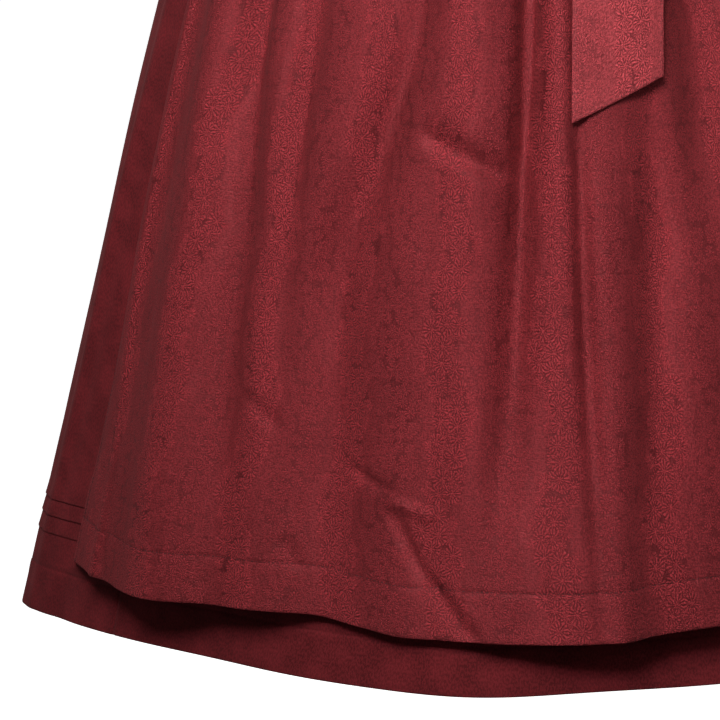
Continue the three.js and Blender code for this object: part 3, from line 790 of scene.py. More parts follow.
# %% Path down the skirt
TUCK_TOP = 625.5
TUCK_EDGES = (636.5, 647.5, 659.0)
TUCK_SHAPE = ((-7, 0.2), (-3, 0.45), (-1, 0.65), (-0.2, 0.7), (0.15, 0.55), (0.2, 0.1), (0.0, -0.25))


def skirt_path():
    plain = np.concatenate([np.linspace(0.15, 60, 18), np.linspace(65, 620, 112)])
    path = [(drop, 0.0) for drop in plain] + [(TUCK_TOP, 0.0)]
    for edge in TUCK_EDGES:
        path += [(edge + down, out) for down, out in TUCK_SHAPE]
        path.append((edge + 1.2, -0.1))
    path += [(drop, 0) for drop in (664, 669, 674, 679, 682)]
    path += [(682.5, -0.35), (683.3, 0.3), (685, 0.45), (688, 0.4)]
    path += [(drop, 0.15) for drop in (693, 698, 703, 707, 710)]
    path += [(712, 0.1), (712.7, -0.1), (713, -0.55)]
    return np.array(path)


SKIRT_PATH = skirt_path()

# %% [markdown]
# A width of the skirt is this path carried round the rings. Its columns are finer beside the seams,
# where the cloth turns in.

# %% Widths of the skirt
def skirt_face(angle, drop, raised):
    return skirt_point(angle, drop, skirt_fold(angle, drop) + skirt_detail(angle, drop) + raised)


def seam_dip(distance):
    """How far the cloth turns in at a seam, from the distance to it in millimetres."""
    return -0.8 * np.exp(-((distance / 1.3) ** 2))


def edge_steps(first, last, count, edge=(0, 0.12, 0.3, 0.55, 0.9, 1.5)):
    """Even steps from first to last with finer ones at both ends, in units of one even step."""
    step = (last - first) / count
    near = np.array(edge) * step
    return np.concatenate([first + near, np.arange(2, count - 1) * step + first, last - near[::-1]])


def skirt_width(name, first, last, count):
    angles = edge_steps(first, last, count)
    angle, drop = np.meshgrid(angles, SKIRT_PATH[:, 0])
    raised = SKIRT_PATH[:, 1:]
    scale = per_degree(skirt_point, angle, drop)
    half = SEAM_GAP / 2 / scale
    inset = np.clip(angle, first + half, last - half)
    seam = np.minimum(inset - first, last - inset) * scale
    outer = skirt_face(inset, drop, raised + seam_dip(seam))
    thick = CLOTH + 0.7 * (drop > SKIRT_LENGTH - HEM_DEPTH)
    inner = skirt_face(angle, drop, -thick)
    shell(name, outer, inner, thread_map(outer), skirt_cloth)


WIDTHS = (
    ("skirt_front", -SEAM_FRONT, SEAM_FRONT, 130),
    ("skirt_side_left", SEAM_FRONT, SEAM_BACK, 100),
    ("skirt_back", SEAM_BACK, 360 - SEAM_BACK, 138),
    ("skirt_side_right", -SEAM_BACK, -SEAM_FRONT, 100),
)
for width_name, first, last, count in WIDTHS:
    skirt_width(f"{width_name}_cloth", first, last, count)

# %% [markdown]
# ## The apron
# The apron is one panel of jacquard, gathered to a narrow band. It hangs free in front of the skirt.
# Its folds start at the gathers and drift sideways as they fall. Between them the cloth swings clear
# of the skirt, so its hem throws a deep shadow, and its side edges lie back against the skirt.

# %% Folds of the apron
APRON_LENGTH = 677.0
BAND_TOP, BAND_BOTTOM = 14.0, -16.0
# Near the hem in front one degree is about this many millimetres.
MM_PER_DEGREE = 5.2

# Each fold: its angle at three drops, how far it stands out at each of them (less than 0 for a
# trough) and its width in degrees at its top and at the hem.
APRON_FOLDS = table(
    "angle300 angle450 angle677 stand300 stand450 stand677 width300 width677",
    (-57.7, -57.2, -53, 1.8, 1.8, 2, 0.8, 1.1),
    (-55.5, -55, -50, -6, -6, -5, 4, 4),
    (-47, -45, -40, 11, 10, 8, 4, 4.6),
    (-40.5, -36.5, -33, -13, -8, -5, 2.4, 3.2),
    (-36, -31, -30, 3, 1, 0, 2.2, 2.5),
    (-30.5, -30, -28, -8, -6, 0, 2.2, 3),
    (-22.5, -31, -30, 3, 3, 4, 4, 5),
    (-14.3, -23, -21, -10, -10, -7, 2.6, 4.4),
    (-12, -14, -12, 0, 6, 4, 3, 4),
    (-7, -7.5, -3, 13, 11, 6, 5, 5),
    (1, -0.4, -3, -19, -11, -1, 1.5, 2.2),
    (5, 4.6, 5, 10, 5, 1, 2.6, 2.6),
    (6.9, 7.2, 8, -3, -8.5, -3, 1.1, 1.2),
    (11.5, 10.5, 9.5, 6, 6, 4, 4.2, 3),
    (19.5, 20, 20, 1, 4, 2, 2.2, 3),
    (25.5, 25, 24, -11, 0, 0, 4.4, 3),
    (17, 15.6, 13, 0, -6, -2, 2.6, 2.4),
    (30, 25.5, 24.5, 1, 9, 7, 4, 7),
    (35, 40, 37, -5, -7, -5, 4, 4.5),
    (43, 48, 45, 9, 8, 4, 4.5, 5),
    (52, 54, 52, -7, -5, -2, 3.5, 4),
)
# Where the lower part stands off the skirt, and where it lies nearer to it.
APRON_LIFTS = table("angle stand width", (-43, 16, 12), (-12, -4, 10), (8, 13, 9), (47, 8, 11))
# How far the hem is drawn up at each angle, as cloth that swings out is.
HEM_RISE = table(
    "angle rise",
    (-64, 6),
    (-57, 6),
    (-48, 4.5),
    (-36, 5),
    (-24, 6.5),
    (-17, 3),
    (-11, 0),
    (8, 1),
    (16, 4),
    (30, 8),
    (64, 8),
)
# Slanting creases: where each starts and ends (angle and drop), its height, and in mm how far it
# fades out on its upper side and on its lower side.
APRON_CREASES = table(
    "angle0 drop0 angle1 drop1 stand above below",
    (-12.8, 366, -1, 397, -5.6, 10, 4),
    (-19.5, 580, -13.4, 592, -3.4, 3.4, 2.8),
    (-15, 592, -8.8, 603, 2.6, 2.6, 2.6),
    (-13.6, 600, -9.6, 640, -3.6, 3, 4),
    (-9.8, 636, -4, 677, -4.2, 3.2, 6),
    (-33, 538, -28, 560, -2.2, 4, 4),
    (-26, 630, -24, 650, -1.8, 4, 4),
)


# %% [markdown]
# The apron's inner face is worked out first. It follows its folds where they stand clear of the skirt
# and rests on the skirt where they would go through it.

# %% Surface of the apron
def apron_edge(drop):
    return lerp(60, 63, smoothstep(drop, 20, 400))


def three_way(row, key, drop):
    """A value given at three drops, on straight lines that bend softly."""
    upper = lerp(row[key + "300"], row[key + "450"], smoothstep(drop, 280, 480))
    return lerp(upper, row[key + "677"], smoothstep(drop, 440, 700))


def apron_fold(angle, drop):
    stand = 0
    for fold in rows_of(APRON_FOLDS):
        width = lerp(fold["width300"], fold["width677"], smoothstep(drop, 320, 640))
        away = (angle - three_way(fold, "angle", drop)) / width
        stand = stand + three_way(fold, "stand", drop) * np.exp(-(away**2))
    return stand * smoothstep(drop, 0, 180)


def creases(rows, angle, drop):
    """Slanting creases as ridges or troughs along a line, fading at both ends."""
    total = 0
    for row in rows_of(rows):
        dx, dy = (row["angle1"] - row["angle0"]) * MM_PER_DEGREE, row["drop1"] - row["drop0"]
        length = math.hypot(dx, dy)
        px, py = (angle - row["angle0"]) * MM_PER_DEGREE, drop - row["drop0"]
        lengthways = (px * dx + py * dy) / length
        sideways = (px * dy - py * dx) / length
        fade = smoothstep(lengthways, -0.1 * length, 0.2 * length) * (
            1 - smoothstep(lengthways, 0.8 * length, 1.1 * length)
        )
        reach = np.where(sideways > 0, row["above"], row["below"])
        total = total + row["stand"] * fade * np.exp(-((sideways / reach) ** 2))
    return total


def apron_inner(angle, drop):
    """How far the apron's inner face is from the skirt's ring."""
    low = smoothstep(drop, 260, APRON_LENGTH)
    gap = lerp(0.8, 2.0, smoothstep(drop, 16, 150))
    clear = skirt_fold(angle, drop) + 1.5 * smoothstep(drop, 612, 626) + gap
    t = (apron_edge(drop) - np.abs(angle)) / lerp(5, 10, smoothstep(drop, 430, 640))
    edge = np.maximum(t + 1 - np.sqrt((t - 1) ** 2 + 0.004), 0) / 2
    wanted = gap + 12 * smoothstep(drop, 30, 200) + apron_fold(angle, drop)
    for lift in rows_of(APRON_LIFTS):
        away = (angle - lift["angle"]) / lift["width"]
        wanted = wanted + lift["stand"] * low * np.exp(-(away**2))
    wanted = wanted + creases(APRON_CREASES, angle, drop)
    wanted = wanted + 0.5 * ripple(angle / 11, drop / 160, 21) * smoothstep(drop, 100, 240)
    wanted = wanted + np.maximum(gathers(angle, drop, 31) + 0.8, 0) * smoothstep(drop, 16, 34)
    return np.maximum(clear, lerp(clear, wanted, edge))


def apron_face(angle, drop, raised=0.0):
    rise = along(HEM_RISE, "angle", "rise", angle) * smoothstep(drop, 420, APRON_LENGTH)
    return skirt_point(angle, drop - rise, apron_inner(angle, drop) + raised)


# %% [markdown]
# The rows of the grid are closer where creases cross them. Above the hem the cloth dips along a row of
# sewing and puckers a little, and both side edges are rolled and sewn as well.

# %% Apron panel
HEM_LINE = 646.0
APRON_WALL = 1.2
# Roughly how far the apron reaches round to one side, in degrees, and the turning along its side.
APRON_REACH = 64
SIDE_HEM = 9


def apron_path():
    smooth = (np.linspace(16.3, 76, 16), np.arange(81, 364, 5.6), np.arange(366, 412, 3.0))
    creased = (np.arange(416, 534, 5.6), np.arange(536, 639, 3.0))
    path = [(drop, 0.0) for drop in np.concatenate(smooth + creased)]
    path += [(640, 0), (643, 0), (645.2, 0), (645.8, -0.26), (646.3, -0.32), (647.2, -0.16), (648.2, 0)]
    path += [(drop, 0.12) for drop in (649, 652, 655, 658, 661, 664, 667, 670, 673)]
    path += [(675, 0.1), (676.2, 0.0), (676.8, -0.2), (677, -0.6)]
    return np.array(path)


APRON_PATH = apron_path()
apron_share = edge_steps(-1, 1, 296)
share, drop = np.meshgrid(apron_share, APRON_PATH[:, 0])
angle = share * apron_edge(drop)
uneven = 260 * share + 2.5 * ripple(share * 6, drop / 300, 24)
pucker = 0.3 * np.sin(uneven) * np.exp(-(((drop - HEM_LINE) / 7) ** 2))
near_side = (1 - np.abs(share)) * APRON_REACH * MM_PER_DEGREE
rolled = 0.7 * np.exp(-((near_side / 0.8) ** 2))
sewn = 0.35 * np.exp(-(((near_side - SIDE_HEM) / 1.2) ** 2))
raised = APRON_PATH[:, 1:] - rolled - sewn
apron_outer = apron_face(angle, drop, APRON_WALL + raised + pucker)
apron_inside = apron_face(angle, drop, -0.4 * smoothstep(drop, 645, 649))
shell("apron_panel_cloth", apron_outer, apron_inside, thread_map(apron_outer), apron_cloth)


# %% [markdown]
# One row of stitches holds the hem, and one holds each side.

# %% Stitches of the apron
def on_apron(angle, drop):
    return apron_face(angle, drop, APRON_WALL - 0.15)


hem_angles = np.linspace(-0.985, 0.985, 900)
hem_row = line_on(on_apron, hem_angles * apron_edge(HEM_LINE), np.full(900, HEM_LINE))
side_drops = np.linspace(18, HEM_LINE - 2, 700)
side_share = 1 - SIDE_HEM / (APRON_REACH * MM_PER_DEGREE)
left_row = line_on(on_apron, side_share * apron_edge(side_drops), side_drops)
right_row = line_on(on_apron, -side_share * apron_edge(side_drops), side_drops)
stitches("apron_stitches", [hem_row, left_row, right_row], apron_thread_painted_shade)

# %% [markdown]
# ## The apron's band and its ties
# The gathered top of the apron is caught in a straight band. A tie leaves each end of the band, goes
# round the back, passes the other tie there and comes back to the front, where both are knotted.
# Where they pass, each is bunched to half its height, one above the other, as soft ribbon does.

# %% Waistband
TIE_TOP, TIE_BOTTOM = 12.0, -14.0
LYING = 0.8
BAND_WALL = 1.5
BAND_SEWING = (-13.2, 11.2)


def between_edges(angle, z, low, high, out):
    """A point of a straight band whose edges follow the waist at two heights."""
    lower = waist_point(angle, low, out)
    upper = waist_point(angle, high, out)
    return lerp(lower, upper, ((z - low) / (high - low))[..., None])


def soft_edge(distance, reach=1.6, depth=0.9):
    """How far a folded edge rolls inwards, from the distance to it in millimetres."""
    return -depth * (1 - np.clip(distance / reach, 0, 1)) ** 2


def band_face(angle, z, raised):
    return between_edges(angle, z, BAND_BOTTOM, BAND_TOP, LYING + raised)


band_edge = np.array([0, 0.2, 0.6, 1.2, 2])
band_heights = np.concatenate([BAND_BOTTOM + band_edge, np.linspace(-13, 11, 13), BAND_TOP - band_edge[::-1]])
angle, z = np.meshgrid(edge_steps(-60, 60, 150), band_heights)
rolled = soft_edge(np.minimum(z - BAND_BOTTOM, BAND_TOP - z))
seams = sum(-0.3 * np.exp(-(((z - level) / 0.8) ** 2)) for level in BAND_SEWING)
waves = 0.3 * ripple(angle / 7, z / 30, 41) + 0.25 * ripple(angle / 2.6, z / 60, 42)
band_outer = band_face(angle, z, BAND_WALL + 0.3 + rolled + seams + waves)
band_inner = band_face(angle, z, 0.15 * np.ones_like(z))
shell("apron_waistband_cloth", band_outer, band_inner, thread_map(band_outer, 10), apron_cloth)


def on_band(angle, z):
    return band_face(angle, z, BAND_WALL + 0.1)


band_angles = np.linspace(-59.6, 59.6, 700)
band_rows = [line_on(on_band, band_angles, np.full(700, level)) for level in BAND_SEWING]
stitches("waistband_stitches", band_rows, apron_thread_painted_shade, pitch=2.6, length=1.9)

# %% [markdown]
# A tie is ribbon folded in half. share goes from its lower edge to its upper edge, and turn goes round
# the waist to the knot, where it is gathered.

# %% Ties
CROSS_BUNCH, CROSS_PASS, CROSS_HALF = 34.0, 8.0, 0.4
SECOND_LAYER = 2.5
KNOT_HALF_ANGLE = 8.5
BOW_ANGLE = 22.0
# Shares of the way across a ribbon or a strap, finer near its edges.
ACROSS = np.concatenate([[0, 0.01, 0.03, 0.06], np.linspace(0.1, 0.9, 17), [0.94, 0.97, 0.99, 1]])


def tie_face(side, turn, share, raised):
    past = turn - 180
    layer = smoothstep(past, -CROSS_PASS, CROSS_PASS)
    bunched = 1 - smoothstep(np.abs(past), CROSS_PASS, CROSS_BUNCH)
    if side > 0:
        top, bottom = TIE_TOP, lerp(TIE_BOTTOM, CROSS_HALF - 1, bunched)
    else:
        top, bottom = lerp(TIE_TOP, -CROSS_HALF - 1, bunched), TIE_BOTTOM
    out = LYING + layer * SECOND_LAYER + raised
    return between_edges(side * turn, lerp(bottom, top, share), TIE_BOTTOM, TIE_TOP, out)


def make_tie(name, side, end):
    turns = edge_steps(60.15, end, 330)
    turn, share = np.meshgrid(turns, ACROSS)
    bunched = 1 - smoothstep(np.abs(turn - 180), CROSS_PASS, CROSS_BUNCH + 14)
    ended = smoothstep(turn, end - 14, end)
    gathered = np.maximum(bunched, 0.8 * ended)
    across = 3.2 * share + 0.3 * ripple(turn / 25, share, 53)
    pleats = (0.14 + 0.24 * gathered) * np.sin(2 * math.pi * across)
    waves = 0.16 * ripple(turn / 9, share * 0.8, 51 + side)
    rolled = soft_edge(np.minimum(share, 1 - share) * (TIE_TOP - TIE_BOTTOM), 1.4, 0.5)
    outer = tie_face(side, turn, share, 1.3 + pleats + waves + rolled)
    inner = tie_face(side, turn, share, 0.3 + np.minimum(pleats + waves, 0))
    shell(name, outer, inner, thread_map(outer, 12)[..., ::-1], ribbon_cloth)


make_tie("tie_left_cloth", 1, 360 + BOW_ANGLE - KNOT_HALF_ANGLE)
make_tie("tie_right_cloth", -1, 360 - BOW_ANGLE - KNOT_HALF_ANGLE)

# %% [markdown]
# ## The bow
# The bow sits a little to the wearer's left. It has axes of its own: across, into the body and up,
# and it leans out over the skirt. Each loop is a length of ribbon that leaves the knot, turns back on
# itself and returns. It is pleated where the knot pinches it, and full and smooth at its turn.

# %% The bow's place
KNOT_WIDTH, KNOT_HEIGHT, KNOT_DEPTH = 32.0, 36.0, 18.0
RIBBON = 57.0
BOW_LEAN = math.radians(-16)
bow_seat = waist_point(BOW_ANGLE, np.array(0.0), 20.0)
bow_normal = waist_point(BOW_ANGLE, np.array(0.0), 21.0) - bow_seat
bow_turn = math.atan2(bow_normal[0], -bow_normal[1])


def on_bow(across, inwards, up):
    """A point given along the bow's own axes, as a point of the dress."""
    y = inwards * math.cos(BOW_LEAN) - up * math.sin(BOW_LEAN)
    z = inwards * math.sin(BOW_LEAN) + up * math.cos(BOW_LEAN)
    x = across * math.cos(bow_turn) - y * math.sin(bow_turn)
    y = across * math.sin(bow_turn) + y * math.cos(bow_turn)
    return np.stack(np.broadcast_arrays(x, y, z), axis=-1) + bow_seat


# %% [markdown]
# On a loop t goes along the ribbon, out from the knot and back to it, and v goes across.

# %% Loops
LOOP_REACH, LOOP_SPREAD, LOOP_DROOP, LOOP_FOLLOW = 125.0, 11.0, 0.12, 0.0018
WALL = 1.6


def loop_point(side, t, v, depth):
    opened = np.sin(math.pi * t)
    inset = WALL * depth
    middle = (1 - opened**1.5) * (KNOT_WIDTH / 2 + SEAM_GAP + 0.4)
    reach = middle + (LOOP_REACH - inset) * opened**1.5 * (2 - opened) ** 0.5
    ply = LOOP_SPREAD - inset
    fullness = np.sign(np.cos(math.pi * t)) * np.abs(np.sin(2 * math.pi * t))
    apart = np.where(t < 0.5, 3 - inset, -3 + inset)
    shift = (ply - 3) * fullness + apart * (1 - opened**2)
    half_height = lerp(KNOT_HEIGHT * 0.36, RIBBON / 2, opened**0.8)
    up = (v - 0.5) * 2 * half_height - LOOP_DROOP * reach
    return on_bow(side * reach, -shift + LOOP_FOLLOW * reach**2, up)


def make_loop(name, side):
    edge = np.array([0, 0.01, 0.03])
    heights = np.concatenate([edge, np.linspace(0.06, 0.94, 27), 1 - edge[::-1]])
    t, v = np.meshgrid(np.linspace(0, 1, 81), heights)
    opened = np.sin(math.pi * t)
    outer = loop_point(side, t, v, np.zeros_like(t))
    inner = loop_point(side, t, v, np.ones_like(t))
    away = outer - inner
    away /= np.linalg.norm(away, axis=-1, keepdims=True)
    pinched = (1 - opened) ** 0.8
    spreading = (v - 0.5) * (1 + 0.8 * pinched)
    pleats = np.cos(2 * math.pi * 2.6 * spreading + 1.1 * side + 0.8 * np.sin(3 * t + side))
    waves = 0.9 * ripple(t * 1.6, v * 0.9, 61 + side) * opened
    edge = soft_edge(np.minimum(v, 1 - v) * RIBBON, 1.6, 0.5)
    relief = np.clip(pinched * 1.3 * pleats + waves, -1.6, 1.6)
    moved_out = outer + away * (relief + edge - 0.2)[..., None]
    moved_in = inner + away * (relief + 0.2)[..., None]
    shell(name, moved_out, moved_in, thread_map(moved_out, 16)[..., ::-1], ribbon_cloth)


make_loop("bow_loop_left_cloth", 1)
make_loop("bow_loop_right_cloth", -1)


# %% [markdown]
# The knot is ribbon wound round both loops and pulled tight, so it is a rounded block with slanting
# folds.

# %% Knot
def ring_faces(rows, columns):
    """Faces between closed rings of points, where each ring is a row."""
    faces = []
    for j in range(rows - 1):
        for i in range(columns):
            k = (i + 1) % columns
            faces.append((j * columns + i, j * columns + k, (j + 1) * columns + k, (j + 1) * columns + i))
    return faces


def make_knot():
    """A rounded block of wrapped ribbon, with the slanting folds that pulling it tight makes."""
    turn, tilt = np.meshgrid(np.linspace(0, 2 * math.pi, 65)[:-1], np.linspace(0, math.pi, 41)[1:-1])
    square = 0.62

    def drawn(value):
        return np.sign(value) * np.abs(value) ** square

    fold = 2 * math.pi * (1.9 * np.cos(tilt) + 0.45 * np.cos(turn))
    relief = 1 + 0.045 * np.cos(fold + 0.6) + 0.02 * np.cos(2.3 * fold + 1)
    across = drawn(-np.cos(turn) * np.sin(tilt)) * KNOT_WIDTH / 2 * relief
    inwards = -drawn(np.sin(turn) * np.sin(tilt)) * KNOT_DEPTH / 2 * relief
    up = drawn(np.cos(tilt)) * KNOT_HEIGHT / 2 * (1 + 0.2 * (relief - 1))
    ring = on_bow(across, inwards, up)
    rows, columns = ring.shape[:2]
    top, bottom = on_bow(0, 0, KNOT_HEIGHT / 2), on_bow(0, 0, -KNOT_HEIGHT / 2)
    points = np.concatenate([ring.reshape(-1, 3), [top, bottom]])
    faces = ring_faces(rows, columns)
    last_ring, first_end = (rows - 1) * columns, rows * columns
    for i in range(columns):
        k = (i + 1) % columns
        faces.append((first_end, k, i))
        faces.append((last_ring + i, last_ring + k, first_end + 1))
    across_knot = (turn / (2 * math.pi)) * 100
    along_knot = tilt / math.pi * 50
    uv = np.concatenate([np.stack([across_knot, along_knot], -1).reshape(-1, 2), [[50, 0], [50, 50]]]) * MM
    mesh_from("bow_knot_cloth", points, faces, ribbon_cloth, uv)


make_knot()

# %% [markdown]
# ### The tails
# Each tail hangs from under the knot, over the apron, and its end is cut on a slant so that it doesn't
# look blunt. The ribbon's edges are turned under, pressed and sewn close to the fold.

# %% Tails
LONG_TAIL = table(
    "drop angle width out",
    (20, 19.6, 24, 8),
    (60, 18.0, 40, 17),
    (120, 16.3, 53, 22.5),
    (200, 14.2, 53.5, 23),
    (280, 12.9, 53.5, 23.5),
    (359, 11.9, 53.5, 24),
)
SHORT_TAIL = table(
    "drop angle width out",
    (20, 30, 22, 8),
    (60, 33, 40, 17),
    (120, 36, 53, 23),
    (200, 39.5, 55.5, 24),
    (280, 42, 55.5, 25),
    (338, 43.5, 55.5, 26),
)


TAIL_TOP = 20.0
TAIL_WIDTH = 55.5
TAIL_USUAL_LENGTH = 320
TAIL_SEWING = 1.9
SHARE_STEP = 0.002


# %% [markdown]
# On a tail u goes across and v goes down, both from 0 to 1, so that the slanting end is a plain row.

# %% Shape and sewing of a tail
def tail_face(tail, ends, u, v, raised):
    drop = lerp(TAIL_TOP, lerp(ends[0], ends[1], u), v)
    middle = along(tail, "drop", "angle", drop)
    width = along(tail, "drop", "width", drop)
    angle = middle + (u - 0.5) * width / per_degree(skirt_point, middle, drop)
    return skirt_point(angle, drop, along(tail, "drop", "out", drop) + raised)


def tail_relief(u, v, seed):
    """The pleats that the knot makes, slight waves and a soft roundness across the ribbon."""
    gathered = 1 - smoothstep(v, 0.05, 0.42)
    pleats = 1.1 * gathered * np.cos(2 * math.pi * (2.2 * (u - 0.5) + 0.2 * np.sin(4 * v)) + seed)
    waves = 0.55 * ripple(u * 0.5, v * 2.2, seed) + 0.2 * ripple(u * 1.5, v * 6, seed + 1)
    return pleats + waves + 0.9 * (1 - (2 * u - 1) ** 2) * smoothstep(v, 0.3, 0.8)


def make_tail(name, tail, ends, seed):
    edge = np.array([0, 0.006, 0.016, 0.032])
    across = np.concatenate([edge, np.linspace(0.06, 0.94, 29), 1 - edge[::-1]])
    down = np.concatenate([np.linspace(0, 0.985, 120), [0.991, 0.9955, 0.998, 0.9993, 1]])
    u, v = np.meshgrid(across, down)
    length = lerp(ends[0], ends[1], u) - TAIL_TOP
    to_edge = np.minimum(np.minimum(u, 1 - u) * TAIL_WIDTH, (1 - v) * length)
    relief = tail_relief(u, v, seed)
    sewn = -0.22 * np.exp(-(((to_edge - TAIL_SEWING) / 0.6) ** 2))
    outer = tail_face(tail, ends, u, v, WALL + relief + soft_edge(to_edge, 1.2, 0.65) + sewn)
    inner = tail_face(tail, ends, u, v, 0.2 + relief - soft_edge(to_edge, 1.2, 0.3))
    shell(name, outer, inner, thread_map(outer, -30), ribbon_cloth)

    def on_tail(u, v):
        return tail_face(tail, ends, u, v, WALL - 0.12 + tail_relief(u, v, seed))

    inset = TAIL_SEWING / TAIL_WIDTH
    last = 1 - 2.2 / TAIL_USUAL_LENGTH
    down = np.linspace(0.02, last, 400)
    rows = [line_on(on_tail, np.full(400, share), down, SHARE_STEP) for share in (inset, 1 - inset)]
    rows.append(line_on(on_tail, np.linspace(inset, 1 - inset, 100), np.full(100, last), SHARE_STEP))
    stitches(name.replace("cloth", "stitches"), rows, ribbon_thread, 2.8, 2.0, 0.4)


make_tail("bow_tail_long_cloth", LONG_TAIL, (359.0, 331.0), 71)
make_tail("bow_tail_short_cloth", SHORT_TAIL, (312.0, 338.0), 81)

# %% [markdown]
# ## The bodice
# The bodice is cut from seven panels so that it follows the body without darts. The long seams over
# the bust are called princess seams. Its edge runs from the low neckline up to the straps, down under
# the arms and up again at the back.

# %% Bodice panels
TOP_EDGE = table(
    "angle rise",
    (0, 204),
    (14, 208),
    (26, 226),
    (36, 258),
    (50, 258),
    (60, 226),
    (74, 200),
    (92, 192),
    (108, 208),
    (124, 248),
    (137, 286),
    (152, 286),
    (164, 274),
    (180, 270),
)
STRAP_FRONT, STRAP_BACK = (36.0, 50.0), (152.0, 137.0)


def top_edge(angle):
    return along(TOP_EDGE, "angle", "rise", np.abs(short_way(angle)))


def panel_face(left, right, u, v, raised, keep_gap=True):
    """left and right are (angle at the waist, angle at the top) of the panel's two seams."""
    bent = np.clip(v, 0, 1) ** 1.25
    first = lerp(left[0], left[1], bent)
    last = lerp(right[0], right[1], bent)
    rise = np.maximum(v * top_edge(lerp(left[1], right[1], u)), SEAM_GAP / 2)
    half = SEAM_GAP / 2 / per_degree(bodice_point, first, rise) if keep_gap else 0
    angle = np.clip(lerp(first, last, u), first + half, last - half)
    return bodice_point(angle, rise, raised)


# %% [markdown]
# A panel's columns are finer beside its seams, and one stands at each corner of the top edge.

# %% Making a panel
def make_panel(name, left, right, corners, count):
    marks = (np.array(corners) - left[1]) / (right[1] - left[1])
    near = np.array([0, 0.006, 0.015, 0.03, 0.05])
    shares = np.concatenate([near, np.linspace(0.07, 0.93, count), 1 - near, marks])
    shares = np.unique(np.round(shares, 5))
    downs = np.concatenate([[1, 0.9985, 0.995, 0.99, 0.983], np.linspace(0.97, 0.0, 56)])
    u, v = np.meshgrid(shares, downs)
    rise = v * top_edge(lerp(left[1], right[1], u))
    bent = v**1.25
    first, last = lerp(left[0], left[1], bent), lerp(right[0], right[1], bent)
    seam = np.minimum(u, 1 - u) * ((last - first) * per_degree(bodice_point, 0.0, rise))
    angle = lerp(first, last, u)
    pull = 0.55 * ripple(angle / 26, rise / 30, 91) * np.exp(-(((rise - 45) / 60) ** 2))
    waves = 0.25 * ripple(angle / 14, rise / 55, 92)
    to_top = (1 - v) * top_edge(lerp(left[1], right[1], u))
    relief = pull + waves + seam_dip(seam) + soft_edge(to_top, 1.4, 0.5)
    outer = panel_face(left, right, u, v, relief)
    inner = panel_face(left, right, u, v, -WALL + 0.2 + np.minimum(pull + waves, 0), keep_gap=False)
    shell(name, outer, inner, thread_map(outer, 20), bodice_cloth)


MIDDLE, PRINCESS, UNDERARM, BACK_SEAM = (0, 0), (26, 53), (92, 92), (155, 134)
FRONT_CORNERS = (8, 17, 26, 36, 43, 50)
BACK_CORNERS = (137, 144.5, 152, 164, 180, 196, 208, 215.5, 223)


def other_side(angles):
    return tuple(-angle for angle in angles)


# Each panel: its two seams, the corners of its top edge, how many columns it has, and beside which
# of its seams it is sewn (0 for the first and 1 for the second).
PANELS = (
    ("front_left", MIDDLE, PRINCESS, FRONT_CORNERS, 44, [1]),
    ("front_right", other_side(PRINCESS), MIDDLE, other_side(FRONT_CORNERS), 44, [0]),
    ("side_front_left", PRINCESS, UNDERARM, (60, 74), 44, [0]),
    ("side_front_right", other_side(UNDERARM), other_side(PRINCESS), (-60, -74), 44, [1]),
    ("side_back_left", UNDERARM, BACK_SEAM, (108, 124), 44, [1]),
    ("side_back_right", other_side(BACK_SEAM), other_side(UNDERARM), (-108, -124), 44, [0]),
    ("back", BACK_SEAM, (205, 226), BACK_CORNERS, 60, [0, 1]),
)
for panel_name, left, right, corners, count, sewn_seams in PANELS:
    make_panel(f"bodice_{panel_name}_cloth", left, right, corners, count)

# %% [markdown]
# Sewing shows on both sides of each princess seam and just below every free edge.

# %% Sewing of the bodice
def panel_row(left, right, u, v):
    def surface(a, b):
        return panel_face(left, right, a, b, 0.02, keep_gap=False)

    return line_on(surface, u, v, SHARE_STEP)


FINE_SEWING = (2.8, 2.0, 0.36, 0.22)
rows = []
for _, left, right, _, _, sewn_seams in PANELS:
    waist_width = abs(right[0] - left[0]) * 2.1
    beside = 2.4 / waist_width * 0.85
    down = np.linspace(0.06, 0.985, 260)
    for seam in sewn_seams:
        rows.append(panel_row(left, right, np.full(260, abs(seam - beside)), down))
    across = np.linspace(0.03, 0.97, 240)
    heights = top_edge(lerp(left[1], right[1], across))
    rows.append(panel_row(left, right, across, 1 - 3.2 / heights))
stitches("bodice_stitches", rows, skirt_thread, *FINE_SEWING)

# %% [markdown]
# ## The shoulder straps
# A strap is a band of the same cloth, wide over the shoulder, that joins the front and the back of the
# bodice. Its two edges are smooth curves through a few sections, and a slight crown keeps it rounded.

# %% Straps
STRAP_SECTIONS = table(
    "neck_x neck_y neck_z arm_x arm_y arm_z",
    (89, -83, 300, 124, -64, 296),
    (87, -62, 348, 128, -50, 338),
    (84, -20, 386, 130, -16, 370),
    (81, 28, 390, 128, 26, 374),
    (77, 68, 355, 122, 60, 344),
    (74, 87, 318, 112, 74, 314),
)


def smooth_line(points, share):
    """A curve through points that bends less where they are close together."""
    points = np.array(points)
    before, after = 2 * points[0] - points[1], 2 * points[-1] - points[-2]
    points = np.vstack([before, points, after])
    place = np.clip(share, 0, 1) * (len(points) - 3)
    i = np.minimum(place.astype(int), len(points) - 4)
    t = (place - i)[:, None]
    a, b, c, d = (points[i + k] for k in range(4))
    pairs = ((a, b), (b, c), (c, d))
    ab, bc, cd = (np.linalg.norm(q - p, axis=1, keepdims=True) ** 0.5 for p, q in pairs)
    start = ((b - a) / ab - (c - a) / (ab + bc) + (c - b) / bc) * bc
    end = ((c - b) / bc - (d - b) / (bc + cd) + (d - c) / cd) * bc
    cubic = 2 * b - 2 * c + start + end
    square = -3 * b + 3 * c - 2 * start - end
    return b + start * t + square * t**2 + cubic * t**3


